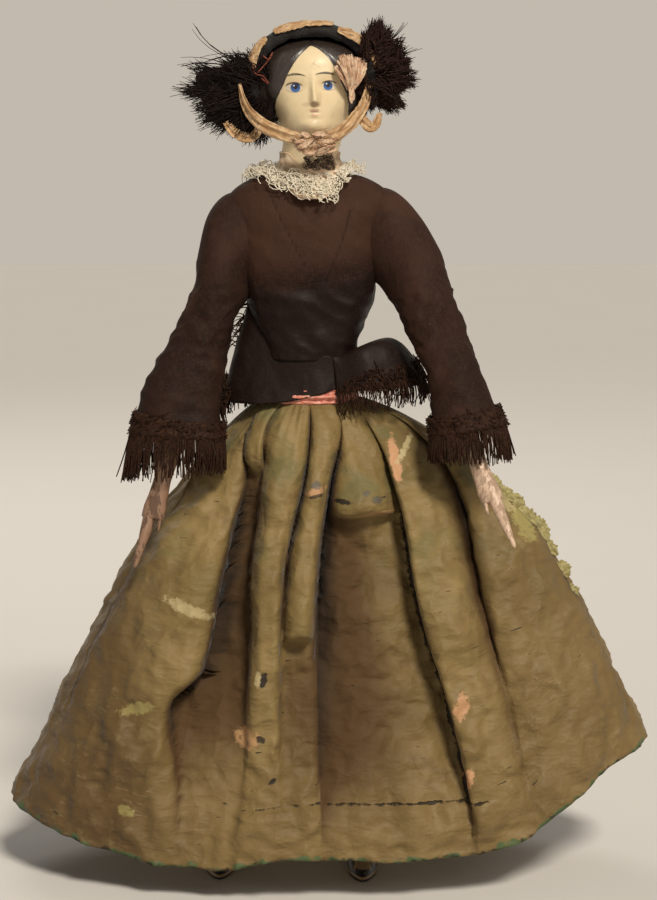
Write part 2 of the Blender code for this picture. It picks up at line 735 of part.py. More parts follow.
def skirt_point(angle, t, out, layers, scale=1.0):
    """A point of a skirt's outside: angle round the waist, share of the way to the hem, and distance out."""
    c, s = math.cos(angle), math.sin(angle)
    half_width, half_depth = waist_oval(layers)
    hem_x = HEM_LEFT_X if c > 0 else HEM_RIGHT_X
    side_z = HEM_LEFT_Z if c > 0 else HEM_RIGHT_Z
    hem_y = HEM_BACK_Y if s > 0 else HEM_FRONT_Y
    spread = skirt_spread(angle, t)
    x = (half_width + (hem_x * scale - half_width) * spread) * c
    y = (half_depth + (hem_y * scale - half_depth) * spread) * s
    hem_z = HEM_FRONT_Z + (side_z - HEM_FRONT_Z) * abs(c) ** 3
    outward = Vector((c / hem_x, s / hem_y, 0)).normalized()
    return Vector((x, y, SKIRT_TOP_Z - FIT + (hem_z - SKIRT_TOP_Z) * t)) + outward * out


def make_skirt():
    rings = []
    for t in (1.0, 0.86, 0.7, 0.54, 0.38, 0.24, 0.13, 0.05, 0.0):
        swell = fold_swell(t)
        rings.append([skirt_point(a, t, out * swell, SKIRT_LAYER + SKIRT_T) for a, out in fold_samples()])
    skirt = add_piece("skirt", loft(rings), "olive_silk", root, smooth_angle=80)
    thicken(skirt, SKIRT_T, outward=False)


def make_petticoat():
    rings = []
    for share, lowered in ((1.0, 1), (0.75, 1), (0.5, 1), (0.25, 1), (0.1, 1), (0.0, 1), (0.0, 0)):
        t = share * PETTICOAT_REACH
        out = -FOLD_DEPTH * 1.12 * fold_swell(t)
        drop = Vector((0, 0, PETTICOAT_DROP * lowered))
        angles = [2 * math.pi * i / PETTICOAT_SIDES for i in range(PETTICOAT_SIDES)]
        layers = PETTICOAT_LAYER + PETTICOAT_T
        rings.append([skirt_point(a, t, out, layers, PETTICOAT_SCALE) - drop for a in angles])
    petticoat = add_piece("petticoat", loft(rings), "cotton", root)
    thicken(petticoat, PETTICOAT_T, outward=False)


def make_band(name, layers, thickness, height, finish):
    half_width, half_depth = waist_oval(layers)
    low = SKIRT_TOP_Z
    rings = [
        ring(Vector((0, 0, z)), half_width, half_depth, half_depth, BAND_SIDES) for z in (low, low + height)
    ]
    thicken(add_piece(name, loft(rings), finish, root), thickness, outward=True)


# Jacket


def make_bodice():
    bodice = add_piece("jacket_bodice", loft(profile_rings(jacket_profile(), BAND_SIDES)), "brown_silk", root)
    thicken(bodice, JACKET_T, outward=True)
    far = SHOULDER_X * 3
    for side, sign in SIDES.items():
        edges = sorted((sign * (ARMHOLE_X - FIT), sign * far))
        outside = block(f"beyond_armhole_{side}", (edges[0], -far, CHEST_Z - far), (edges[1], far, CROWN_Z))
        cut(bodice, outside)
        cut(bodice, bar(f"armhole_{side}", ARMHOLE_R, sign * ARMHOLE_X / 2, sign * far))


def sleeve_stations():
    inner = dome(SLEEVE_R)
    middle = (SLEEVE_MID_D + CUFF_D) / 2
    middle_depth = (SLEEVE_MID_HALF_DEPTH + CUFF_HALF_DEPTH) / 2
    return inner + [
        (SLEEVE_MID_D * 0.5, (SLEEVE_R + SLEEVE_MID_HALF_WIDTH) / 2, (SLEEVE_R + SLEEVE_MID_HALF_DEPTH) / 2),
        (SLEEVE_MID_D, SLEEVE_MID_HALF_WIDTH, SLEEVE_MID_HALF_DEPTH),
        (middle, SLEEVE_MID_HALF_WIDTH * 0.7 + CUFF_HALF_WIDTH * 0.3, middle_depth),
        (CUFF_D, CUFF_HALF_WIDTH, CUFF_HALF_DEPTH),
    ]


def ribbed(points, centre, rib):
    """Pushes every other point of a ring outwards, which gives hanging threads their ribs."""
    return [p + (p - centre).normalized() * (rib if i % 2 else 0) for i, p in enumerate(points)]


def make_sleeve(side, joint):
    """A bell sleeve whose round head turns in its armhole, with a thread fringe sewn round the cuff."""
    direction = arm_direction(side)
    stations = sleeve_stations()
    sleeve = add_piece(
        f"sleeve_{side}",
        loft(limb_rings(joint.location, direction, stations, SLEEVE_SIDES), True),
        "brown_silk",
        joint,
    )
    thicken(sleeve, JACKET_T, outward=False)
    far = SHOULDER_X * 3
    edges = sorted((SIDES[side] * ARMHOLE_X, -SIDES[side] * far))
    inside = block(f"inside_armhole_{side}", (edges[0], -far, CHEST_Z - far), (edges[1], far, CROWN_Z))
    cut(sleeve, inside)

    (d0, w0, h0), (d1, w1, h1) = stations[-2:]
    slope_w, slope_h = (w1 - w0) / (d1 - d0), (h1 - h0) / (d1 - d0)
    rings = []
    top, end = CUFF_D - FRINGE_HEADING, CUFF_D + FRINGE_LENGTH
    for d, rib in ((top, 0), (CUFF_D, FRINGE_RIB), (end, FRINGE_RIB * 2)):
        easing = min(d, CUFF_D) - d1 + max(d - CUFF_D, 0) * 0.35
        half_width, half_depth = w1 + slope_w * easing + FIT * 2, h1 + slope_h * easing + FIT * 2
        points = limb_rings(joint.location, direction, [(d, half_width, half_depth)], FRINGE_SIDES)[0]
        rings.append(ribbed(points, joint.location + direction * d, rib))
    fringe = add_piece(f"sleeve_fringe_{side}", loft(rings), "brown_fringe", joint)
    thicken(fringe, FRINGE_T, outward=True)


# The jacket's hip flaps: first and last angle, then flare and fall at each, as shares of the full drop
FLAPS = {
    "right": ((150, 311), (1.08, 0.2), (1.0, 0.85)),
    "left": ((316, 368), (0.69, 1.92), (1.1, 0.6)),
    "back": ((13, 145), (1.62, 1.0), (0.7, 1.0)),
}
FLAP_FRINGES = {"right": (150, 214), "left": (316, 368), "back": (13, 145)}
FLAP_STEP = 9


def flap_point(name, angle, share, out):
    """A point of a hip flap: angle round the waist, share of the way down it, and distance out of it."""
    (first, last), flares, drops = FLAPS[name]
    place = (angle - first) / (last - first)
    ease = place * place * (3 - 2 * place)
    flare = PEPLUM_DROP * (flares[0] + (flares[1] - flares[0]) * ease)
    drop = PEPLUM_DROP * (drops[0] + (drops[1] - drops[0]) * ease)
    c, s = math.cos(math.radians(angle)), math.sin(math.radians(angle))
    spread = flare * share**0.8 + out
    outward = Vector((c / JACKET_WAIST_HALF_WIDTH, s / JACKET_WAIST_HALF_DEPTH, 0)).normalized()
    half_width, half_depth = JACKET_WAIST_HALF_WIDTH + JACKET_T, JACKET_WAIST_HALF_DEPTH + JACKET_T
    waist = Vector((half_width * c, half_depth * s, WAIST_Z - FIT * 1.5))
    return waist + outward * spread - Vector((0, 0, drop * share))


def angle_steps(first, last):
    count = max(2, round((last - first) / FLAP_STEP))
    return [first + (last - first) * i / count for i in range(count + 1)]


def make_flap(name):
    first, last = FLAPS[name][0]
    rows = [[flap_point(name, a, share, 0) for a in angle_steps(first, last)] for share in (1, 0.6, 0.25, 0)]
    flap = add_piece(f"jacket_flap_{name}", loft(rows, closed=False), "brown_silk", root)
    thicken(flap, JACKET_T, outward=False)

    seam = Vector((0, 0, JACKET_T + FIT))
    hang = Vector((0, 0, PEPLUM_FRINGE_LENGTH))
    angles = angle_steps(*FLAP_FRINGES[name])
    ribs = [FRINGE_RIB * (3 if i % 2 else 2) for i in range(len(angles))]
    low = [flap_point(name, a, 1, rib) - seam - hang for a, rib in zip(angles, ribs)]
    top = [flap_point(name, a, 1, 0) - seam for a in angles]
    fringe = add_piece(f"flap_fringe_{name}", loft([low, top], closed=False), "brown_fringe", root)
    thicken(fringe, FRINGE_T, outward=False)


# Neck dressing

COLLAR_RUFFLES = 9
COLLAR_RUFFLE = 0.8 * MM
COLLAR_REACH = 7 * MM
COLLAR_RISE = 2 * MM
COLLAR_FALL = 4 * MM
COLLAR_FRONT_FALL = 6 * MM


def make_neck_cloth():
    """A folded cream kerchief round the neck, above the jacket's neckline."""
    low, high = NECKLINE_Z + JACKET_T + FIT * 3, NECK_Z - FIT * 3
    rings = []
    for z in (low, (low + high) / 2, high):
        w, f, b = profile_at(plate_profile(), z)
        rings.append(ring(Vector((0, 0, z)), w + FIT * 1.5, f + FIT * 1.5, b + FIT * 1.5, HEAD_SIDES))
    thicken(add_piece("neck_cloth", loft(rings), "cream_cloth", root), LACE_T, outward=True)


def make_lace_collar():
    """A ruffled lace collar that lies over the jacket's neckline and falls lower in front."""
    start = NECKLINE_Z + JACKET_T + FIT * 3
    w0, f0, _ = profile_at(plate_profile(), start)
    clear = FIT * 3 + LACE_T
    rings = []
    for share in (1.0, 0.5, 0.0):
        points = []
        for i in range(FRINGE_SIDES):
            angle = 2 * math.pi * i / FRINGE_SIDES
            c, s = math.cos(angle), math.sin(angle)
            wave = COLLAR_RUFFLE * math.cos(COLLAR_RUFFLES * angle) * share
            reach = COLLAR_REACH * share * (1 - 0.55 * max(0, -s) - 0.3 * max(0, s))
            fall = (COLLAR_FALL * share**2 + (COLLAR_FRONT_FALL - COLLAR_FALL) * max(0, -s) * share) * 0.6
            out = clear + reach
            points.append(Vector(((w0 + out) * c, (f0 + out) * s, start + COLLAR_RISE - fall + wave)))
        rings.append(points)
    thicken(add_piece("lace_collar", loft(rings), "white_lace", root), LACE_T, outward=True)


# Headdress


def roll_point(degrees):
    """A point on the middle line of the padded roll that frames the face."""
    c, s = math.cos(math.radians(degrees)), math.sin(math.radians(degrees))
    across = HEAD_HALF_WIDTH + ROLL_GAP + ROLL_R
    up = CROWN_Z - ROLL_CENTRE_Z + ROLL_R + FIT
    x = across * math.copysign(abs(c) ** ROLL_SQUARENESS, c)
    z = up * math.copysign(abs(s) ** ROLL_SQUARENESS, s)
    return Vector((HEAD_X + x, ROLL_Y, ROLL_CENTRE_Z + z))


ROLL_GAP = RIBBON_T + FIT * 2.5
ROLL_ENDS = (-22, 202)
ROLL_STEP = 14


def make_roll():
    """A padded black roll round the face, as a bevelled curve."""
    curve = bpy.data.curves.new("brim_roll", "CURVE")
    curve.dimensions = "3D"
    curve.bevel_depth = ROLL_R
    curve.bevel_resolution = 2
    curve.use_fill_caps = True
    angles = range(ROLL_ENDS[0], ROLL_ENDS[1] + 1, ROLL_STEP)
    spline = curve.splines.new("POLY")
    spline.points.add(len(angles) - 1)
    for point, angle in zip(spline.points, angles):
        point.co = (*roll_point(angle), 1)
    curve.materials.append(material("black_net"))
    obj = bpy.data.objects.new("brim_roll", curve)
    obj.parent = root
    doll.objects.link(obj)


WRAPS = {"top": (76, 106), "right": (130, 154), "left": (22, 54)}


def make_wrap(name):
    """A turn of cream ribbon wound round the roll."""
    first, last = WRAPS[name]
    radius = ROLL_R + FIT * 1.5
    rings = []
    for angle in (first, (first * 2 + last) / 3, (first + last * 2) / 3, last):
        a = math.radians(angle)
        outward = Vector((math.cos(a), 0, math.sin(a)))
        rings.append(ring(roll_point(angle), radius, radius, radius, LIMB_SIDES, outward, Y_AXIS))
    thicken(add_piece(f"roll_ribbon_{name}", loft(rings), "cream_ribbon", root), RIBBON_T, outward=True)


def make_cap():
    """A black cap over the back of the head, open in front."""
    levels = [r for r in head_profile(FIT) if r[0] > CAP_EDGE_Z]
    w, f, b = profile_at(head_profile(FIT), CAP_EDGE_Z)
    rings = profile_rings([(CAP_EDGE_Z, w, f, b), *levels], HEAD_SIDES, x=HEAD_X)
    cap = add_piece("cap", loft(rings, False, True), "black_net", root)
    thicken(cap, CAP_T, outward=True)
    far = HEAD_HALF_WIDTH * 3
    cut(cap, block("front_of_cap", (-far, -far, CHIN_Z), (far, CAP_FRONT_Y, CROWN_Z + far)))


TUFT_SIDES = 20
TUFT_JAG = 0.07


def make_tuft(side):
    """A fan of dark plume strands that stands out from the end of the roll."""
    sign = SIDES[side]
    start = HEAD_X + sign * (HEAD_HALF_WIDTH + ROLL_GAP + ROLL_R * 2 + FIT)
    end = sign * TUFT_REACH[side]
    z0 = ROLL_CENTRE_Z + FIT
    rings = []
    for share, size in ((0, 0.28), (0.35, 0.62), (0.8, 1.0), (1.0, 0.72)):
        centre = Vector((start + (end - start) * share, TUFT_Y, z0 + TUFT_RISE[side] * share))
        points = ring(
            centre,
            TUFT_HALF_HEIGHT[side] * size,
            TUFT_HALF_DEPTH[side] * size,
            TUFT_HALF_DEPTH[side] * size,
            TUFT_SIDES,
            Vector((0, 0, 1)),
            Y_AXIS,
        )
        jag = 1 - TUFT_JAG * share
        rings.append([centre + (p - centre) * (jag if i % 2 else 1) for i, p in enumerate(points)])
    add_piece(f"side_tuft_{side}", loft(rings, True, True), "dark_plume", root)


# Places of the ribbons in shares of the head: half width, front, and height above the chin
CHIN_RIBBON = (
    (-1.464, -0.671, 0.522), (-1.324, -0.797, 0.29), (-0.877, -1.076, 0.072), (-0.346, -1.228, -0.049),
    (0.101, -1.253, -0.067), (0.575, -1.139, -0.003), (0.994, -0.873, 0.174), (1.218, -0.684, 0.42),
)  # fmt: skip
LOOPS = {
    "right": ((-1.162, -0.392, 0.217), (-1.24, -0.354, 0.043), (-1.492, -0.291, -0.084), (-1.715, -0.228, 0.032)),
    "left": ((1.196, -0.392, 0.186), (1.318, -0.354, 0.096), (1.196, -0.291, -0.02), (0.966, -0.228, -0.055)),
}
BOW = ((-0.43, -1.285, -0.142), (-0.179, -1.316, -0.206), (0.128, -1.329, -0.188), (0.352, -1.291, -0.119))
ROSETTE_AT = (0.665, -0.835, 0.696)


def head_place(shares):
    across, forward, up = shares
    return Vector((HEAD_X + HEAD_HALF_WIDTH * across, HEAD_FRONT * forward, CHIN_Z + HEAD_HEIGHT * up))


def make_ribbons():
    ribbon("chin_ribbon", CHIN_RIBBON, RIBBON_WIDTH, RIBBON_T, "cream_ribbon", from_head_axis)
    ribbon("chin_bow", BOW, RIBBON_WIDTH, RIBBON_T, "cream_ribbon", from_head_axis)
    for side, points in LOOPS.items():
        ribbon(f"ribbon_loop_{side}", points, RIBBON_WIDTH, RIBBON_T, "cream_ribbon", lambda p: -Y_AXIS)


ROSETTE_FOLDS = 7


def make_rosette():
    """A folded ribbon rosette on the temple, hollowed at the back to lie on the hair."""
    out = Vector((0.55, -0.83, 0.05)).normalized()
    across = out.cross(Vector((0, 0, 1))).normalized()
    up = across.cross(out)
    sides = ROSETTE_FOLDS * 2
    rings = []
    for share, size in ((-0.5, 0.8), (0.1, 1.0), (0.45, 0.75), (0.5, 0.35)):
        centre = head_place(ROSETTE_AT) + out * ROSETTE_THICKNESS * share
        tall = ROSETTE_HALF_HEIGHT * size
        points = ring(
            centre, ROSETTE_HALF_WIDTH * size, tall, tall, sides, across, up
        )
        rings.append([centre + (p - centre) * (0.86 if i % 2 else 1) for i, p in enumerate(points)])
    rosette = add_piece("rosette", loft(rings, True, True), "cream_ribbon", root)
    cut(rosette, add_cutter("head_with_room", loft(head_outline(FIT), True, True)))


clear_scene()
doll = new_collection("papier_mache_doll")
cutters = new_collection("cutters")
root = empty("doll_axis", (AXIS_X, AXIS_Y, 0))
shoulders = {s: empty(f"shoulder_{s}", (sign * SHOULDER_X, 0, SHOULDER_Z), root) for s, sign in SIDES.items()}
hips = {s: empty(f"hip_{s}", (sign * HIP_X, 0, HIP_Z), root) for s, sign in SIDES.items()}

make_torso()
make_shoulder_head()
for side_name in SIDES:
    make_arm(side_name, shoulders[side_name])
    make_sleeve(side_name, shoulders[side_name])
    make_leg(side_name, hips[side_name])
    make_tuft(side_name)
make_band("petticoat_band", PETTICOAT_LAYER, PETTICOAT_T, BAND_HEIGHT, "cotton")
make_petticoat()
make_band("skirt_band", SKIRT_LAYER, BAND_T, BAND_HEIGHT, "olive_silk")
make_skirt()
make_band("sash", SASH_LAYER, SASH_T, SASH_HEIGHT, "pink_ribbon")
make_bodice()
for flap_name in FLAPS:
    make_flap(flap_name)
make_neck_cloth()
make_lace_collar()
make_cap()
make_roll()
for wrap_name in WRAPS:
    make_wrap(wrap_name)
make_ribbons()
make_rosette()
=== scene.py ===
import functools
import json
import math
import random

import bmesh
import bpy
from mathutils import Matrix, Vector, noise


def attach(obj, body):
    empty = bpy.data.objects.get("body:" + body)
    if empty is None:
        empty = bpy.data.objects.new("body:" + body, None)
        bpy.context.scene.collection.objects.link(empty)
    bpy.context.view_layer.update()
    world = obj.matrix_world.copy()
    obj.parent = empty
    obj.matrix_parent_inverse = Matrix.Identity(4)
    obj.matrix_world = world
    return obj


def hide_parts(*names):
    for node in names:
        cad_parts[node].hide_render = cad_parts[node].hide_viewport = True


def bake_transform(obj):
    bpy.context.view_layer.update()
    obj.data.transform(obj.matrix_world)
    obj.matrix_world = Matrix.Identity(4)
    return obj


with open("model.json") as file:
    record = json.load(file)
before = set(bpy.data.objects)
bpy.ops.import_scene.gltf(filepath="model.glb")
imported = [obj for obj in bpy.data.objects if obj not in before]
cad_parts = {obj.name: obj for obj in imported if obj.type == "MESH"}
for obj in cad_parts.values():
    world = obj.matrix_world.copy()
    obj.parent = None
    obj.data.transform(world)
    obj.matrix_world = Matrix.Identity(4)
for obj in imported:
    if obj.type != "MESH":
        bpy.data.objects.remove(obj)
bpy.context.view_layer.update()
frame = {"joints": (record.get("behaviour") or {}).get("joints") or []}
dice = random.Random(1840)

# Sizes are millimetres about the doll's own axis, which stands midway between its shoulder joints.
jointAt = {j["name"]: Vector(j["pos_m"]) * 1000 for j in frame["joints"]}
axis = (jointAt["shoulder_swing_left"] + jointAt["shoulder_swing_right"]) / 2
axis.z = 0
sideSign = {"right": -1, "left": 1}
shoulderAt = {s: jointAt[f"shoulder_swing_{s}"] - axis for s in sideSign}
hipAt = {s: jointAt[f"hip_swing_{s}"] - axis for s in sideSign}
leftward = Vector((1, 0, 0))
backward = Vector((0, 1, 0))
upward = Vector((0, 0, 1))


# Shader sockets that take part in sums
class Wire:
    def __init__(self, finish, socket):
        self.finish = finish
        self.socket = socket

    def sum(self, operation, first, second=0.0):
        return self.finish.node("Math", {"operation": operation}, {0: first, 1: second})

    def __add__(self, other):
        return self.sum("ADD", self, other)

    def __radd__(self, other):
        return self.sum("ADD", other, self)

    def __sub__(self, other):
        return self.sum("SUBTRACT", self, other)

    def __rsub__(self, other):
        return self.sum("SUBTRACT", other, self)

    def __mul__(self, other):
        return self.sum("MULTIPLY", self, other)

    def __rmul__(self, other):
        return self.sum("MULTIPLY", other, self)

    def __truediv__(self, other):
        return self.sum("DIVIDE", self, other)

    def __pow__(self, other):
        return self.sum("POWER", self, other)

    def __abs__(self):
        return self.sum("ABSOLUTE", self)

    def atLeast(self, other):
        return self.sum("MAXIMUM", self, other)


class Finish:
    def __init__(self, name, fixed):
        self.material = bpy.data.materials.new(name)
        self.material.use_nodes = True
        self.tree = self.material.node_tree
        self.shader = self.tree.nodes["Principled BSDF"]
        for socket, value in fixed.items():
            self.give(socket, value)
        objectPlace = self.node("TexCoord", out="Object")
        self.place = self.node("VectorMath", {"operation": "SCALE"}, {0: objectPlace, "Scale": 1000})

    def node(self, kind, settings=None, sockets=None, out=0):
        made = self.tree.nodes.new("ShaderNode" + kind)
        for key, value in (settings or {}).items():
            setattr(made, key, value)
        for key, value in (sockets or {}).items():
            self.feed(made.inputs[key], value)
        return Wire(self, made.outputs[out])

    def feed(self, socket, value):
        if isinstance(value, Wire):
            self.tree.links.new(value.socket, socket)
        elif socket.type == "RGBA" and len(value) == 3:
            socket.default_value = (*value, 1)
        else:
            socket.default_value = value

    def give(self, socket, value):
        self.feed(self.shader.inputs[socket], value)

    # cloudy patches of about that many millimetres, from 0 to 1
    def cloud(self, size, detail=2.0, stretch=(1, 1, 1), where=None, rough=0.5):
        scale = tuple(1 / (size * s) for s in stretch)
        at = self.node("Mapping", {}, {"Vector": where or self.place, "Scale": scale})
        sockets = {"Vector": at, "Scale": 1.0, "Detail": detail, "Roughness": rough}
        return self.node("TexNoise", {}, sockets)

    # distance to the nearest edge of a net of cells of about that many millimetres
    def cells(self, size, stretch=(1, 1, 1), where=None):
        scale = tuple(1 / (size * s) for s in stretch)
        at = self.node("Mapping", {}, {"Vector": where or self.place, "Scale": scale})
        return self.node("TexVoronoi", {"feature": "DISTANCE_TO_EDGE"}, {"Vector": at, "Scale": 1.0})

    # 0 below low, 1 above high
    def rise(self, value, low, high):
        sockets = {"Value": value, "From Min": low, "From Max": high}
        return self.node("MapRange", {"interpolation_type": "SMOOTHSTEP"}, sockets)

    def paint(self, share, under, over):
        return self.node("Mix", {"data_type": "RGBA"}, {0: share, 6: under, 7: over}, out=2)

    def mark(self, name):
        return self.node("Attribute", {"attribute_name": name}, out=2)

    # the cloth's own coordinates in millimetres
    def clothPlace(self, width, length):
        uv = self.node("UVMap", {"uv_map": "UVMap"})
        return self.node("VectorMath", {"operation": "MULTIPLY"}, {0: uv, 1: (width, length, 1)})

    # x, y and z about the doll's axis
    def dollPlace(self):
        parts = self.node("SeparateXYZ", {}, {0: self.place})
        split = parts.socket.node.outputs
        return Wire(self, split[0]) - axis.x, Wire(self, split[1]) - axis.y, Wire(self, split[2])

    def bump(self, height, depth):
        sockets = {"Height": height, "Distance": depth * 0.001, "Strength": 1.0}
        self.give("Normal", self.node("Bump", {}, sockets))


# Mesh helpers


# a smooth run through stops of (place, value)
def flow(stops, t):
    if t <= stops[0][0]:
        return stops[0][1]
    if t >= stops[-1][0]:
        return stops[-1][1]
    k = next(i for i in range(len(stops) - 1) if t <= stops[i + 1][0])
    (a, p), (b, q) = stops[k], stops[k + 1]
    before = stops[max(k - 1, 0)]
    after = stops[min(k + 2, len(stops) - 1)]
    span = b - a
    s = (t - a) / span
    slopeP = (q - before[1]) * (span / (b - before[0]))
    slopeQ = (after[1] - p) * (span / (after[0] - a))
    r = 1 - s
    return p * ((1 + 2 * s) * r * r) + slopeP * (s * r * r) + q * (s * s * (3 - 2 * s)) - slopeQ * (s * s * r)


def ease(low, high, value):
    s = min(max((value - low) / (high - low), 0.0), 1.0)
    return s * s * (3 - 2 * s)


# a bell curve: 1 at nought, fading away over that width
def bell(value, wide):
    return math.exp(-((value / wide) ** 2))


# noise with a scale of its own across the doll and another up it
def grain(point, across, up):
    return noise.noise(Vector((point.x * across, point.y * across, point.z * up)))


# stops of a turned form, spaced by the distance along its outline
def along(rows):
    run, stops = 0.0, []
    for i, row in enumerate(rows):
        if i:
            run += math.hypot(row[0] - rows[i - 1][0], row[1] - rows[i - 1][1])
        stops.append((run, Vector(row)))
    return [(s / run, row) for s, row in stops]


def hill(x, z, x0, z0, wide, tall):
    return math.exp(-(((x - x0) / wide) ** 2) - ((z - z0) / tall) ** 2)


# a grid whose points are laid by place(u, v); marks name the numbers that place gives after each point
def layGrid(columns, rows, place, marks=()):
    bm = bmesh.new()
    bm.loops.layers.uv.new("UVMap")
    bmesh.ops.create_grid(bm, x_segments=columns, y_segments=rows, size=0.5, calc_uvs=True)
    layers = [bm.verts.layers.float.new(m) for m in marks]
    for v in bm.verts:
        laid = place(v.co.x + 0.5, v.co.y + 0.5)
        if marks:
            for layer, value in zip(layers, laid[1:]):
                v[layer] = value
            laid = laid[0]
        v.co = laid
    bmesh.ops.remove_doubles(bm, verts=bm.verts, dist=0.001)
    return bm


def closeEnds(bm):
    rims = [e for e in bm.edges if e.is_boundary]
    bmesh.ops.holes_fill(bm, edges=rims, sides=0)
    bmesh.ops.recalc_face_normals(bm, faces=bm.faces)


# turns an open sheet so that its faces look away from a line up the doll
def faceOut(bm, centre):
    bm.normal_update()
    turn = 0.0
    for f in bm.faces:
        turn += f.normal.dot(f.calc_center_median() - centre) * f.calc_area()
    if turn < 0:
        bmesh.ops.reverse_faces(bm, faces=bm.faces)


def addPiece(name, bm, finish, thick=0.0):
    bmesh.ops.translate(bm, verts=bm.verts, vec=axis)
    bmesh.ops.scale(bm, verts=bm.verts, vec=(0.001, 0.001, 0.001))
    mesh = bpy.data.meshes.new(name)
    bm.to_mesh(mesh)
    bm.free()
    mesh.materials.append(finish.material)
    mesh.shade_smooth()
    piece = bpy.data.objects.new(name, mesh)
    bpy.context.scene.collection.objects.link(piece)
    if thick:
        wall = piece.modifiers.new("thickness", "SOLIDIFY")
        wall.thickness = thick * 0.001
        wall.offset = -1
    return piece


def settle(piece, body, slot, *nodes):
    if body:
        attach(piece, body)
    if nodes:
        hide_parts(*nodes)
    return piece


# thin threads as one bevelled curve; each thread is a list of (point, share of the radius)
def addThreads(name, threads, radius, finish):
    curve = bpy.data.curves.new(name, "CURVE")
    curve.dimensions = "3D"
    curve.bevel_depth = radius * 0.001
    curve.bevel_resolution = 0
    curve.use_fill_caps = True
    for thread in threads:
        spline = curve.splines.new("POLY")
        spline.points.add(len(thread) - 1)
        for knot, (point, share) in zip(spline.points, thread):
            knot.co = (*((Vector(point) + axis) * 0.001), 1)
            knot.radius = share
    curve.materials.append(finish.material)
    piece = bpy.data.objects.new(name, curve)
    bpy.context.scene.collection.objects.link(piece)
    return piece


# the ring of a tube at any place along it, from stations of (place along, centre, across, depth)
def ringsOf(stations):
    centres = [(s, c) for s, c, _, _ in stations]
    wides = [(s, a) for s, _, a, _ in stations]
    deeps = [(s, d) for s, _, _, d in stations]
    return functools.cache(lambda v: (flow(centres, v), flow(wides, v), flow(deeps, v)))


def tube(columns, rows, stations, wobble=0.0):
    ringAt = ringsOf(stations)

    def place(u, v):
        centre, wide, deep = ringAt(v)
        angle = 2 * math.pi * u
        point = centre + wide * math.cos(angle) + deep * math.sin(angle)
        if wobble:
            point = point + (point - centre).normalized() * noise.noise(point * 0.16) * wobble
        return point

    return layGrid(columns, rows, place)


def joinInto(bm, other):
    mesh = bpy.data.meshes.new("joined")
    other.to_mesh(mesh)
    other.free()
    bm.from_mesh(mesh)
    bpy.data.meshes.remove(mesh)


# a ribbon through points, with its width and the way its flat side faces at each
def strip(points, widths, facing, columns=36, rows=8, ripple=0.0, fray=0.0, seed=0.0, pleat=0.0):
    last = len(points) - 1
    stops = [(i / last, Vector(p)) for i, p in enumerate(points)]
    breadth = [(i / last, w) for i, w in enumerate(widths)]
    faces = [(i / last, Vector(f)) for i, f in enumerate(facing)]

    def place(u, v):
        point = flow(stops, u)
        ahead = (flow(stops, min(u + 0.01, 1)) - flow(stops, max(u - 0.01, 0))).normalized()
        out = flow(faces, u)
        out = (out - out.project(ahead)).normalized()
        side = out.cross(ahead)
        half = flow(breadth, u) / 2
        edge = (v - 0.5) * 2
        torn = 1 + fray * noise.noise(Vector((u * 31 + seed, edge, seed))) * abs(edge) ** 3
        lift = ripple * noise.noise(Vector((u * 5 + seed, edge * 1.4, seed * 2)))
        lift += pleat * math.sin(edge * 6 + 3 * noise.noise(Vector((u * 2.5, seed, 0))))
        curl = -0.12 * half * edge * edge
        return point + side * (edge * half * torn) + out * (lift + curl)

    return layGrid(columns, rows, place)


# Finishes


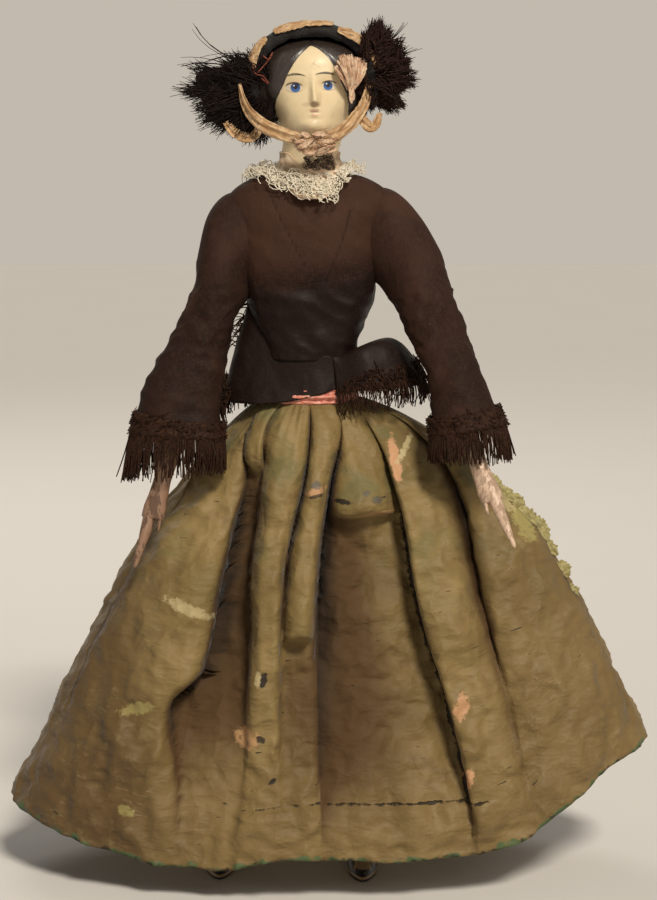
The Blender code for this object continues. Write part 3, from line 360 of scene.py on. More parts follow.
def makePaintedPapier(face):
    finish = Finish("painted_papier_mache", {"Coat Roughness": 0.25, "Specular IOR Level": 0.45})
    x, y, z = finish.dollPlace()
    front = finish.rise(y, 0.0, -6.0)

    def spot(at, wide, tall, soft):
        reach = ((x - at[0]) / wide) ** 2 + ((z - at[1]) / tall) ** 2
        return (1 - finish.rise(reach, 1 - soft, 1 + soft)) * front

    skin = finish.paint(finish.cloud(7.0, 3), face["skin"], face["skinWarm"])
    grey = finish.rise(finish.cloud(5.0, 3), 0.45, 0.75) * finish.rise(z, 285.0, 277.0)
    skin = finish.paint(grey * 0.6, skin, face["skinGrey"])
    yellowed = finish.rise(finish.cloud(3.2, 4, rough=0.6), 0.56, 0.76) * 0.45
    skin = finish.paint(yellowed, skin, face["skinYellow"])
    # painted shade beside and under the nose, under the lower lip and low on the doll's right cheek, with
    # some dirt on the nose tip
    for at, wide, tall, depth in face["dirtAndShadeSpots"]:
        skin = finish.paint(spot(at, wide, tall, 0.8) * depth, skin, face["smudgeAndShade"])
    # brow and lid strokes are thin arcs about an eye
    for eye in face["eyes"]:
        ex, ez = eye["at"]
        skin = finish.paint(spot((ex, ez + 0.7), 3.6, 2.1, 0.7) * 0.35, skin, face["lid"])
        white = spot((ex + eye["shift"], ez), eye["wide"], eye["tall"], 0.25)
        skin = finish.paint(white * 0.9, skin, face["eyeWhite"])
        iris = spot((ex, ez + 0.05), eye["iris"], eye["iris"], 0.2)
        depth = finish.rise(z, ez + 1.2, ez - 1.4)
        blue = finish.paint(depth, face["irisDark"], face["irisPale"])
        skin = finish.paint(iris, skin, blue)
        skin = finish.paint(spot((ex, ez + 0.25), 0.78, 0.82, 0.25), skin, face["dark"])
        skin = finish.paint(spot((ex - 0.55, ez + 0.75), 0.3, 0.3, 0.5) * 0.85, skin, face["glint"])
        bend = (x - (ex + eye["shift"])) ** 2 * 0.115
        lidLine = abs(z - (ez + eye["tall"] + 0.15 - bend))
        reach = 1 - finish.rise(abs(x - (ex + eye["shift"])), eye["wide"] * 0.8, eye["wide"] * 1.15)
        skin = finish.paint((1 - finish.rise(lidLine, 0.16, 0.42)) * reach * front * 0.85, skin, face["dark"])
        lower = abs(z - (ez - eye["tall"] - 0.05 + bend * 0.7))
        skin = finish.paint((1 - finish.rise(lower, 0.08, 0.3)) * reach * front * 0.4, skin, face["smudgeAndShade"])
        bx, bz = eye["brow"]
        arch = abs(z - (bz - (x - bx) ** 2 * 0.055))
        hairs = finish.rise(finish.cloud(0.5, 2, (0.6, 1, 2.5)), 0.3, 0.6)
        browReach = 1 - finish.rise(abs(x - bx), 2.6, 4.0)
        thick = 0.5 - abs(x - bx - 0.6 * (1 if ex > 0 else -1)) * 0.07
        stroke = (1 - finish.rise(arch / thick.atLeast(0.12), 0.5, 1.3)) * browReach * front
        skin = finish.paint(stroke * (0.7 + 0.3 * hairs), skin, face["brow"])
    for at, wide, tall, colour, depth in face["lips"]:
        skin = finish.paint(spot(at, wide, tall, 0.6) * depth, skin, colour)
    crackNet = finish.cells(3.4)
    crack = (1 - finish.rise(crackNet, 0.004, 0.02)) * finish.rise(finish.cloud(9.0, 2), 0.58, 0.7)
    skin = finish.paint(crack * 0.2, skin, face["smudgeAndShade"])
    specks = finish.rise(finish.cloud(0.55, 2), 0.72, 0.78) * finish.rise(finish.cloud(6.0, 2), 0.5, 0.65)
    skin = finish.paint(specks * 0.55, skin, face["smudgeAndShade"])

    edge = finish.mark("hairEdge")
    hair = finish.rise(edge + (finish.cloud(1.2, 2) - 0.5) * 0.35, -0.12, 0.12)
    combed = finish.cloud(1.0, 4, (0.45, 0.45, 5.0))
    gloss = finish.rise(finish.cloud(2.2, 3, (0.6, 0.6, 3.0)), 0.5, 0.8)
    hairTone = finish.paint(combed, face["hairDark"], face["hair"])
    hairTone = finish.paint(gloss * 0.35, hairTone, face["hairShine"])
    chips = finish.rise(finish.cloud(1.1, 3), 0.73, 0.79)
    hairTone = finish.paint(chips * 0.6, hairTone, face["skinGrey"])
    finish.give("Base Color", finish.paint(hair, skin, hairTone))
    finish.give("Roughness", 0.5 - 0.16 * hair + 0.2 * (combed - 0.5) * hair)
    finish.give("Coat Weight", 0.12 + 0.3 * hair)
    grooves = combed * hair * 0.9 + (1 - hair) * (finish.cloud(1.6, 4) * 0.25 - crack * 0.5)
    finish.bump(grooves + hair * 0.8, 0.22)
    return finish


def makeOliveTaffeta(silk):
    fixed = {"Sheen Weight": 0.06, "Sheen Roughness": 0.4, "Specular IOR Level": 0.3}
    finish = Finish("olive_taffeta", fixed)
    cloth = finish.clothPlace(*silk["flat"])
    x, y, z = finish.dollPlace()
    front = finish.rise(y, 2.0, -8.0)
    deep = finish.mark("foldShade") + (finish.cloud(6.0, 3) - 0.5) * 0.25

    tone = finish.paint(finish.rise(finish.cloud(24, 3), 0.38, 0.64), silk["olive"], silk["pale"])
    greened = finish.rise(finish.cloud(15, 4), 0.5, 0.7) * finish.rise(z, 70.0, 165.0)
    tone = finish.paint(greened, tone, silk["green"])
    tone = finish.paint(finish.rise(finish.cloud(11, 5, rough=0.6), 0.5, 0.75) * 0.6, tone, silk["brownish"])
    aside = finish.rise(x, 52.0, 84.0) * 0.5 * front
    tone = finish.paint(aside.atLeast(finish.rise(z, 80.0, 20.0) * 0.4), tone, silk["brownish"])
    # the front at the left as seen is darkened
    tone = finish.paint(finish.rise(x, -44.0, -72.0) * front * 0.6, tone, silk["soilAndShade"])

    # crumpled all over: the crests are painted pale, partly as rubbed wear and partly as painted highlight,
    # and the deep folds are painted dark as shade
    broad = abs(finish.cloud(15, 1.5, (1, 1, 1.5)) - 0.5)
    sharp = abs(finish.cloud(6.5, 2, (1.5, 1.5, 0.7)) - 0.5)
    worn = finish.rise(finish.cloud(5.5, 5, rough=0.62), 0.5, 0.7) * finish.rise(deep, 0.2, -0.3)
    crest = (1 - finish.rise(broad, 0.0, 0.05)).atLeast(1 - finish.rise(sharp, 0.0, 0.035))
    tone = finish.paint(worn * 0.3 + crest * worn * 0.45, tone, silk["rubbedAndHighlight"])
    tone = finish.paint(finish.rise(deep, 0.1, 0.85) * 0.88, tone, silk["soilAndShade"])
    # the deepest folds are painted near black as shade
    tone = finish.paint(finish.rise(deep, 0.85, 1.7) * 0.7, tone, silk["creaseShadeAndGaps"])

    # short level splits where the brittle cloth has cracked
    dash = finish.cloud(4.2, 3, (3.0, 0.3, 1), where=cloth)
    sparse = finish.rise(finish.cloud(18, 2, where=cloth), 0.52, 0.62)
    split = finish.rise(dash, 0.68, 0.72) * sparse
    lip = finish.rise(dash, 0.58, 0.68) * sparse * (1 - split) * finish.rise(deep, 0.35, 0.05)
    tone = finish.paint(lip * 0.3, tone, silk["rubbedAndHighlight"])
    tone = finish.paint(split * 0.85, tone, silk["creaseShadeAndGaps"])

    ragged = (finish.cloud(3.4, 6, rough=0.75) - 0.5) * 4.2
    for (x0, z0), length, wide, tilt, colour, depth in silk["patches"]:
        c, s = math.cos(math.radians(tilt)), math.sin(math.radians(tilt))
        lengthwise = ((x - x0) * c + (z - z0) * s) / length
        over = ((z - z0) * c - (x - x0) * s) / wide
        reach = lengthwise**2.0 + over**2.0 + ragged
        tone = finish.paint((1 - finish.rise(reach, 0.4, 1.0)) * front * depth, tone, silk[colour])

    # a painted shadow line along the crease beside the slit fold and under the hem tuck
    creaseShadeAndGaps = finish.rise(finish.mark("creaseShadeAndGaps") + (finish.cloud(2.2, 4) - 0.5) * 0.8, 0.5, 0.7)
    tone = finish.paint(creaseShadeAndGaps * 0.95, tone, silk["creaseShadeAndGaps"])

    hem = finish.mark("hemEdge")
    green = finish.rise(hem + (finish.cloud(5.0, 4) - 0.5) * 2.0, 0.8, 1.02)
    tone = finish.paint(green * 0.75, tone, silk["verdigris"])
    # near black at the very edge of the hem
    hemDark = finish.rise(hem + (finish.cloud(3.0, 3) - 0.5) * 0.9, 0.95, 1.1)
    tone = finish.paint(hemDark * 0.8, tone, silk["creaseShadeAndGaps"])
    finish.give("Base Color", tone)
    rough = 0.5 + 0.2 * finish.cloud(4.0, 3) + 0.15 * split + 0.25 * finish.rise(deep, 0.2, 1.0)
    finish.give("Roughness", rough)
    warp = finish.cloud(0.35, 1, (1, 8, 1), where=cloth)
    weft = finish.cloud(0.35, 1, (8, 1, 1), where=cloth)
    facets = finish.rise(finish.cells(17, (1, 1, 1.3)), 0.0, 0.3)
    crinkle = finish.cloud(4.5, 4, rough=0.55)
    creases = crinkle * 0.55 + facets * 1.3 - broad * 4.2 - sharp * 1.5
    finish.bump(creases + (warp + weft) * 0.03 - split * 1.1 - creaseShadeAndGaps * 1.2, 0.8)
    return finish


def makeBrownSilk(name, silk, flat):
    finish = Finish(name, {"Specular IOR Level": 0.14})
    cloth = finish.clothPlace(*flat)
    tone = finish.paint(finish.cloud(12, 3), silk["brown"], silk["dark"])
    faded = finish.rise(finish.cloud(20, 3), 0.5, 0.75)
    tone = finish.paint(faded * 0.5, tone, silk["faded"])
    weave = finish.cloud(0.4, 1, (1, 6, 1), where=cloth) + finish.cloud(0.4, 1, (6, 1, 1), where=cloth)
    tone = finish.paint(finish.rise(weave, 0.9, 1.25) * 0.3, tone, silk["faded"])
    lint = finish.rise(finish.cloud(0.42, 1), 0.76, 0.8) * finish.rise(finish.cloud(8, 2), 0.5, 0.68)
    tone = finish.paint(lint * 0.7, tone, silk["lint"])
    satin = finish.mark("satin")
    # where the satin mark is below nought the silk is painted paler, as fading and, on the sleeves, as
    # painted light too
    fadedAndLit = finish.rise(satin + (finish.cloud(9, 3) - 0.5) * 0.3, 0.0, -1.0)
    tone = finish.paint(fadedAndLit * 0.85, tone, silk["faded"])
    tone = finish.paint(finish.rise(satin, 0.0, 1.0) * 0.8, tone, silk["dark"])
    seam = finish.mark("seam")
    tone = finish.paint(finish.rise(seam, 0.4, 0.9) * 0.5, tone, silk["seam"])
    finish.give("Base Color", tone)
    finish.give("Roughness", 0.74 + 0.2 * (finish.cloud(5, 2) - 0.5) - 0.3 * finish.rise(satin, 0.0, 1.0))
    crease = finish.cloud(6, 3) * 0.6 - abs(finish.cloud(11, 2, (1, 1, 1.6)) - 0.5) * 2.4
    finish.bump(weave * 0.12 + crease - finish.rise(seam, 0.3, 1.0) * 0.5, 0.5)
    return finish


def makeThread(name, dark, light, sheen=0.03):
    finish = Finish(name, {"Sheen Weight": sheen, "Specular IOR Level": 0.15})
    tone = finish.paint(finish.rise(finish.cloud(0.9, 2), 0.3, 0.72), dark, light)
    finish.give("Base Color", tone)
    finish.give("Roughness", 0.6 + 0.25 * finish.cloud(2.0, 2))
    finish.bump(finish.cloud(0.3, 2, (1, 1, 3)), 0.08)
    return finish


def makeRibbon(name, silk):
    finish = Finish(name, {"Sheen Weight": 0.15, "Specular IOR Level": 0.4})
    cloth = finish.clothPlace(40, 6)
    tone = finish.paint(finish.rise(finish.cloud(3.0, 3), 0.35, 0.65), silk["pale"], silk["warm"])
    streak = finish.cloud(0.7, 3, (9, 1, 1), where=cloth)
    tone = finish.paint(finish.rise(streak, 0.46, 0.66) * 0.8, tone, silk["deep"])
    stain = finish.rise(finish.cloud(1.8, 4, rough=0.6), 0.55, 0.68)
    tone = finish.paint(stain * 0.65, tone, silk["stain"])
    finish.give("Base Color", tone)
    finish.give("Roughness", 0.42 + 0.3 * finish.cloud(1.5, 2))
    finish.bump(streak * 0.8 + finish.cloud(1.6, 4) * 0.9, 0.28)
    return finish


def makeMuslin(name, pale, warm, grey):
    finish = Finish(name, {"Sheen Weight": 0.1, "Specular IOR Level": 0.25})
    tone = finish.paint(finish.rise(finish.cloud(4.0, 3), 0.35, 0.7), pale, warm)
    tone = finish.paint(finish.rise(finish.cloud(2.0, 4), 0.55, 0.72) * 0.6, tone, grey)
    weave = finish.cells(0.45)
    finish.give("Base Color", tone)
    finish.give("Roughness", 0.8 + 0.1 * finish.cloud(2.0, 2))
    finish.bump(weave * 0.4 + finish.cloud(2.0, 4) * 0.8, 0.25)
    return finish


def makeLace(lace):
    finish = Finish("torn_lace", {"Specular IOR Level": 0.25, "Sheen Weight": 0.1})
    cloth = finish.clothPlace(*lace["flat"])
    net = finish.cells(lace["mesh"], where=cloth)
    thread = 1 - finish.rise(net, 0.10, 0.2)
    solid = finish.rise(finish.cloud(3.2, 2, where=cloth), 0.56, 0.64)
    edge = finish.mark("laceEdge")
    worn = 1 - finish.rise(finish.cloud(3.0, 3, where=cloth) + edge * 0.25, 0.68, 0.74)
    finish.give("Alpha", (thread.atLeast(solid)) * worn)
    tone = finish.paint(finish.cloud(2.5, 3), lace["pale"], lace["warm"])
    finish.give("Base Color", tone)
    finish.give("Roughness", 0.8 + 0.1 * finish.cloud(1.0, 2))
    finish.bump(thread + solid * 0.5, 0.2)
    return finish


def makeNetting(net):
    finish = Finish("black_netting", {"Sheen Weight": 0.08, "Specular IOR Level": 0.3})
    mesh = 1 - finish.rise(finish.cells(0.9), 0.05, 0.18)
    tone = finish.paint(mesh * 0.8, net["black"], net["thread"])
    dust = finish.rise(finish.cloud(2.5, 4), 0.55, 0.75)
    tone = finish.paint(dust * 0.4, tone, net["dust"])
    finish.give("Base Color", tone)
    finish.give("Roughness", 0.6 + 0.25 * finish.cloud(2.0, 2))
    finish.bump(mesh * 0.7 + finish.cloud(1.8, 4) * 1.2, 0.35)
    return finish


def makeKid(kid):
    finish = Finish("cream_kid", {"Specular IOR Level": 0.35})
    tone = finish.paint(finish.cloud(9, 4), kid["cream"], kid["tan"])
    pores = finish.cells(0.7)
    tone = finish.paint(finish.rise(finish.cloud(3, 4), 0.58, 0.75) * 0.5, tone, kid["soiled"])
    finish.give("Base Color", tone)
    finish.give("Roughness", 0.6 + 0.2 * finish.cloud(3, 2))
    finish.bump(pores * 0.5 + finish.cloud(2.5, 4), 0.3)
    return finish


def makeWornWood(name, wood):
    finish = Finish(name, {"Specular IOR Level": 0.4})
    grain = finish.cloud(0.8, 4, (1, 1, 9))
    flesh = finish.paint(finish.cloud(5, 3), wood["flesh"], wood["pinkish"])
    bare = finish.paint(grain, wood["bare"], wood["dark"])
    worn = finish.rise(finish.cloud(3.2, 5, (0.8, 0.8, 2.2), rough=0.62), 0.47, 0.56)
    tone = finish.paint(worn * wood["wear"], flesh, bare)
    spots = finish.rise(finish.cloud(0.8, 3), 0.66, 0.73)
    tone = finish.paint(spots * 0.7, tone, wood["dark"])
    finish.give("Base Color", tone)
    finish.give("Roughness", 0.42 + 0.3 * worn)
    finish.bump(grain * 0.5 - worn * 0.7, 0.2)
    return finish


def makePaintedLeg(leg):
    finish = Finish("painted_wooden_leg", {"Specular IOR Level": 0.45, "Coat Roughness": 0.3})
    shoe = finish.mark("shoe")
    line = finish.mark("shoeLine")
    top = finish.mark("shoeTop")
    grain = finish.cloud(0.8, 4, (1, 1, 8))
    flesh = finish.paint(finish.cloud(5, 3), leg["flesh"], leg["tan"])
    black = finish.paint(finish.cloud(2.2, 4), leg["navy"], leg["black"])
    chips = finish.rise(finish.cloud(1.4, 4), 0.6, 0.7)
    black = finish.paint(chips * 0.7, black, leg["tan"])
    black = finish.paint(finish.rise(top + (finish.cloud(1.5, 3) - 0.5) * 0.6, 0.45, 0.6), black, leg["tan"])
    gilt = finish.rise(line + (finish.cloud(1.0, 3) - 0.5) * 0.5, 0.5, 0.75)
    black = finish.paint(gilt, black, leg["gold"])
    worn = finish.rise(finish.cloud(3.0, 4), 0.6, 0.72)
    flesh = finish.paint(worn * 0.6, flesh, leg["bare"])
    finish.give("Base Color", finish.paint(finish.rise(shoe, 0.4, 0.6), flesh, black))
    finish.give("Roughness", 0.42 + 0.25 * chips)
    finish.give("Coat Weight", 0.2 * (1 - chips))
    finish.bump(grain * 0.4 - chips * 0.8, 0.2)
    return finish


def makePaper(paper):
    finish = Finish("glued_paper", {"Specular IOR Level": 0.3})
    tone = finish.paint(finish.cloud(2.0, 4), paper["red"], paper["faded"])
    finish.give("Base Color", tone)
    finish.give("Roughness", 0.75 + 0.15 * finish.cloud(1.5, 2))
    finish.bump(finish.cloud(0.6, 4), 0.12)
    return finish


browns = {
    "brown": (0.027, 0.0108, 0.0062), "dark": (0.0058, 0.0034, 0.003), "faded": (0.068, 0.031, 0.0185),
    "seam": (0.005, 0.003, 0.002), "lint": (0.34, 0.27, 0.2),
}
creams = {
    "pale": (0.66, 0.46, 0.26), "warm": (0.46, 0.27, 0.115), "deep": (0.27, 0.115, 0.036),
    "stain": (0.10, 0.036, 0.014),
}  # fmt: skip
corals = {
    "pale": (0.72, 0.33, 0.24), "warm": (0.60, 0.17, 0.11), "deep": (0.42, 0.09, 0.06),
    "stain": (0.75, 0.52, 0.40),
}  # fmt: skip
nets = {"black": (0.010, 0.008, 0.008), "thread": (0.022, 0.018, 0.017), "dust": (0.06, 0.045, 0.038)}
brownThread = makeThread("brown_fringe_thread", (0.012, 0.0045, 0.002), (0.040, 0.0155, 0.0065), 0.0)
plumeThread = makeThread("plume_thread", (0.005, 0.0032, 0.003), (0.020, 0.010, 0.0075), 0.0)
creamRibbon = makeRibbon("yellowed_ribbon", creams)
netting = makeNetting(nets)
kid = makeKid({"cream": (0.60, 0.47, 0.31), "tan": (0.48, 0.34, 0.20), "soiled": (0.30, 0.19, 0.10)})
print("finishes for threads, ribbons, netting and kid made")


# Shoulder head

face = {
    "skin": (0.80, 0.66, 0.42), "skinWarm": (0.76, 0.59, 0.35), "skinGrey": (0.50, 0.41, 0.28),
    "skinYellow": (0.76, 0.56, 0.24), "smudgeAndShade": (0.26, 0.16, 0.09), "lid": (0.60, 0.40, 0.22),
    "eyeWhite": (0.68, 0.60, 0.46), "irisDark": (0.012, 0.035, 0.12), "irisPale": (0.055, 0.15, 0.42),
    "dark": (0.018, 0.013, 0.012), "glint": (0.75, 0.78, 0.82), "brow": (0.035, 0.024, 0.018),
    "hair": (0.040, 0.028, 0.022), "hairDark": (0.016, 0.011, 0.009), "hairShine": (0.11, 0.082, 0.066),
    "eyes": (
        {"at": (-5.0, 290.3), "shift": -0.5, "wide": 3.0, "tall": 1.6, "iris": 1.75, "brow": (-4.8, 295.1)},
        {"at": (6.7, 291.0), "shift": 0.4, "wide": 2.6, "tall": 1.55, "iris": 1.65, "brow": (5.6, 295.6)},
    ),
    "dirtAndShadeSpots": (
        ((2.0, 284.4), 1.5, 1.2, 0.7), ((0.2, 287.5), 0.8, 3.2, 0.18), ((3.6, 286.5), 0.9, 2.6, 0.22),
        ((-1.2, 284.3), 1.4, 0.8, 0.25), ((2.0, 278.2), 2.2, 0.7, 0.2), ((-9.5, 281.0), 2.0, 3.0, 0.15),
    ),
    "lips": (
        ((1.8, 282.4), 1.7, 0.6, (0.44, 0.22, 0.15), 0.6),
        ((1.8, 281.7), 1.7, 0.28, (0.14, 0.06, 0.045), 0.7),
        ((1.8, 280.7), 1.3, 0.7, (0.60, 0.32, 0.22), 0.55),
    ),
}  # fmt: skip
headForm = {
    "columns": 190, "rows": 176, "crowding": 0.075, "offset": 1.2, "wall": 1.2, "hairLift": 0.6,
    "sideHair": 1.3,
    # height, half width, front and back
    "outline": (
        (227, 22.0, 13.2, 13.2), (236, 22.8, 11.9, 11.9), (246.4, 21.0, 11.2, 11.2),
        (250.5, 17.6, 10.9, 10.9), (254.3, 13.7, 10.4, 10.4), (258, 11.5, 10.0, 10.0),
        (265, 10.4, 9.7, 9.8), (270, 10.5, 10.3, 10.6), (273.2, 11.1, 13.6, 12.2),
        (275.9, 12.4, 15.4, 13.9), (279.7, 13.8, 15.7, 16.1), (284.5, 15.7, 15.7, 18.0),
        (289.4, 17.1, 15.6, 19.2), (294.2, 17.8, 15.5, 19.6), (299, 17.3, 14.6, 18.6),
        (302.8, 15.3, 12.5, 16.3), (305.6, 11.4, 9.4, 12.0), (307.3, 6.2, 5.2, 6.5), (307.9, 0.0, 0.0, 0.0),
    ),
    "hairlineRight": (
        (276, -12.9), (284, -12.3), (287, -11.4), (291.3, -9.3), (295.9, -7.3), (301.2, -3.9),
        (305.4, 0.4),
    ),
    "hairlineLeft": (
        (276, 13.6), (284, 14.0), (288, 13.2), (291.7, 11.6), (295.9, 9.8), (300, 7.4), (303.6, 3.9),
        (305.4, 0.6),
    ),
    "noseLine": (
        (283.6, 0.0), (284.5, 1.1), (285.5, 2.2), (287.3, 1.9), (290, 1.2), (293, 0.55), (296.5, 0.0),
    ),
    # x, height, half width, half height and swell of the rest of the face
    "swells": (
        (-5.5, 290.5, 3.3, 1.9, -0.85), (7.0, 291.1, 3.1, 1.9, -0.85), (-5.3, 290.3, 2.2, 1.4, 0.7),
        (6.9, 291.0, 2.1, 1.4, 0.7), (-5.4, 292.3, 2.7, 0.5, 0.22), (7.0, 292.9, 2.6, 0.5, 0.22),
        (-5.0, 294.7, 4.0, 1.2, 0.3), (6.2, 295.3, 4.0, 1.2, 0.3), (1.8, 282.7, 1.7, 0.6, 0.42),
        (1.8, 280.5, 1.4, 0.75, 0.5), (1.8, 281.7, 1.8, 0.3, -0.35), (1.3, 276.7, 3.2, 2.2, 0.8),
        (-8.0, 283.5, 3.5, 4.0, 0.45), (10.4, 284.0, 3.2, 4.0, 0.45), (0.9, 284.9, 0.8, 0.7, 0.3),
        (3.1, 284.9, 0.8, 0.7, 0.3), (2.0, 279.0, 2.4, 0.7, -0.3),
    ),
}  # fmt: skip


# how far a point of the front lies outside the face, in millimetres
def hairEdge(form, x, y, z):
    lowest, highest = form["hairlineRight"][0][0], form["hairlineRight"][-1][0]
    if z < lowest:
        return -4.0
    if y > -1.0:
        return 4.0
    low = flow(form["hairlineRight"], z)
    high = flow(form["hairlineLeft"], z)
    return max(-4.0, min(4.0, max(low - x, x - high, z - highest) * 0.85))


def makeHead(form):
    stops = along(form["outline"])
    ringAt = functools.cache(lambda v: flow(stops, v))

    def place(u, v):
        z, wide, front, back = ringAt(v)
        angle = math.pi / 2 + 2 * math.pi * (u + form["crowding"] * math.sin(2 * math.pi * u))
        c, s = math.cos(angle), math.sin(angle)
        wide, front, back = max(wide, 0), max(front, 0), max(back, 0)
        shift = form["offset"] * ease(265, 274, z)
        x = shift + wide * c
        y = (back if s > 0 else front) * s
        edge = hairEdge(form, x, y, z)
        if s < 0:
            facing = ease(0.2, 0.6, -s)
            middle = 1.0 + (296 - z) * 0.09
            rise = flow(form["noseLine"], z) * bell(x - middle, 1.05 + 0.35 * ease(289, 285, z))
            for x0, z0, w, h, swell in form["swells"]:
                rise += swell * hill(x, z, x0, z0, w, h)
            y -= rise * facing
        beside = ease(0.45, 0.9, abs(c)) * (s < 0.6)
        bulk = form["hairLift"] + form["sideHair"] * bell(z - 290, 7) * beside
        hair = ease(-0.1, 1.6, edge) * bulk * ease(307.9, 304, z)
        parting = 0.35 * bell(x - 0.5, 0.5) * ease(304, 306, z)
        return Vector((x + c * hair, y + s * hair, z - parting)), edge

    bm = layGrid(form["columns"], form["rows"], place, ("hairEdge",))
    faceOut(bm, Vector((0, 0, 270)))
    piece = addPiece("papier_mache_head", bm, makePaintedPapier(face), form["wall"])
    settle(piece, "figure", "papier_mache", "shoulder_head")


makeHead(headForm)
print("shoulder head painted")


# Kid body, arms and legs

bodyForm = {
    # height, half width, half depth
    "outline": (
        (153, 10, 6), (154.5, 16.4, 10.6), (162, 18.2, 12.2), (170, 15.8, 11.3), (181, 14.1, 10.7),
        (192, 13.0, 10.2), (204, 16.2, 10.9), (217, 19.2, 11.3), (227, 19.4, 11.3), (233, 20.4, 10.2),
        (237, 20.8, 8.4), (240, 17, 7), (242.5, 8, 5.5),
    ),
    "armEnd": 58, "armRadius": 5.9, "armNeck": 4.9, "thighEnd": 66, "thighRadius": 7.4, "thighNeck": 5.7,
    "hipRoom": 8.2,
}  # fmt: skip


def limbAxes(direction):
    deep = (backward - backward.project(direction)).normalized()
    return direction.cross(deep).normalized(), deep


def limbStations(joint, direction, sizes):
    # sizes are (distance from the joint, half width, half depth)
    wide, deep = limbAxes(direction)
    first, last = sizes[0][0], sizes[-1][0]
    return [((d - first) / (last - first), joint + direction * d, wide * w, deep * h) for d, w, h in sizes]


# writes the piece's world placing into its mesh
def shoulderBlend(piece):
    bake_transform(piece)


def stuffedLimb(name, joint, direction, radius, neck, end, body, *nodes):
    # a ball at the joint, then distance from it and half width
    sizes = [(-radius * math.sin(a), radius * math.cos(a)) for a in (1.5, 1.2, 0.8, 0.4, 0)]
    sizes += [(end * 0.3, radius * 1.03), (end * 0.7, (radius + neck) / 2)]
    sizes += [(end - 1, neck), (end, neck * 0.9)]
    bm = tube(28, 44, limbStations(joint, direction, [(d, half, half) for d, half in sizes]), 0.35)
    closeEnds(bm)
    piece = settle(addPiece(name, bm, kid), body, "kid_leather", *nodes)
    return piece


# degrees that each arm hangs outward and forward
armHang = {"right": (14.5, 15.0), "left": (20.5, 26.0)}
ankles = {"right": Vector((-33.5, -6, 11)), "left": Vector((19.5, -9, 11))}


def armDirection(side):
    out, ahead = (math.tan(math.radians(a)) for a in armHang[side])
    return Vector((sideSign[side] * out, -ahead, -1)).normalized()


def legDirection(side):
    return (ankles[side] - hipAt[side]).normalized()


def makeBody(form):
    stations = []
    first, last = form["outline"][0][0], form["outline"][-1][0]
    for z, w, d in form["outline"]:
        stations.append(((z - first) / (last - first), Vector((0, 0, z)), leftward * w, backward * d))
    bm = tube(48, 60, stations, 0.5)
    for side in sideSign:  # room for the ball ends of the thighs
        hip = hipAt[side]
        for v in bm.verts:
            reach = v.co - hip
            if reach.length < form["hipRoom"]:
                v.co = hip + reach.normalized() * form["hipRoom"]
    closeEnds(bm)
    piece = settle(addPiece("kid_torso", bm, kid), "figure", "kid_leather", "torso_skin", "torso_stuffing")
    for side in sideSign:
        arm = stuffedLimb(
            f"kid_arm_{side}", shoulderAt[side], armDirection(side),
            form["armRadius"], form["armNeck"], form["armEnd"],
            None, f"upper_arm_skin_{side}", f"upper_arm_stuffing_{side}",
        )  # fmt: skip
        shoulderBlend(arm)
        stuffedLimb(
            f"kid_thigh_{side}", hipAt[side], legDirection(side),
            form["thighRadius"], form["thighNeck"], form["thighEnd"],
            f"leg_{side}", f"thigh_skin_{side}", f"thigh_stuffing_{side}",
        )  # fmt: skip


makeBody(bodyForm)

handForm = {
    # distance from the shoulder, half width, half depth
    "sizes": (
        (52, 3.6, 3.6), (58.6, 3.8, 3.8), (59.2, 4.6, 4.6), (70, 4.2, 4.1), (84, 3.6, 3.3), (93, 3.2, 2.8),
        (98, 3.5, 2.6), (103, 4.1, 2.4), (107, 4.0, 2.2),
    ),
    "fingers": ((0.95, 2.45, 1.9, 24, 0.10), (-1.75, 1.45, 1.5, 12, -0.32)),
    "palmEnd": 104,
}  # fmt: skip
# the doll's right hand is painted darker than its left, partly as soil and wear and partly as painted shade
# under its sleeve
fleshWood = {
    "right": makeWornWood("soiled_and_shaded_wood", {
        "flesh": (0.30, 0.185, 0.115), "pinkish": (0.22, 0.12, 0.072), "bare": (0.13, 0.067, 0.036),
        "dark": (0.05, 0.025, 0.015), "wear": 0.85,
    }),
    "left": makeWornWood("pale_painted_wood", {
        "flesh": (0.68, 0.50, 0.36), "pinkish": (0.52, 0.35, 0.245), "bare": (0.27, 0.155, 0.09),
        "dark": (0.08, 0.04, 0.025), "wear": 0.5,
    }),
}  # fmt: skip


def makeForearm(side, form):
    joint, direction = shoulderAt[side], armDirection(side)
    wide, deep = limbAxes(direction)
    outward = wide * sideSign[side]
    bm = tube(26, 60, limbStations(joint, direction, form["sizes"]), 0.3)
    closeEnds(bm)
    # a broad flat finger end and a shorter thumb on the inner side
    for shift, half, thick, run, lean in form["fingers"]:
        start = joint + direction * (form["palmEnd"] - (2 if shift > 0 else 5)) + outward * shift
        way = (direction + outward * lean * 0.35 - deep * 0.06).normalized()
        sizes = (
            (-4, half * 0.7, thick * 0.9), (0, half, thick), (run * 0.45, half * 0.8, thick * 0.85),
            (run * 0.8, half * 0.5, thick * 0.6), (run - 0.5, half * 0.3, thick * 0.4), (run, 0.25, 0.25),
        )  # fmt: skip
        finger = tube(18, 30, limbStations(start, way, sizes), 0.25)
        closeEnds(finger)
        joinInto(bm, finger)
    piece = addPiece(f"wooden_forearm_{side}", bm, fleshWood[side])
    settle(piece, f"arm_{side}", "painted_wood", f"forearm_{side}")


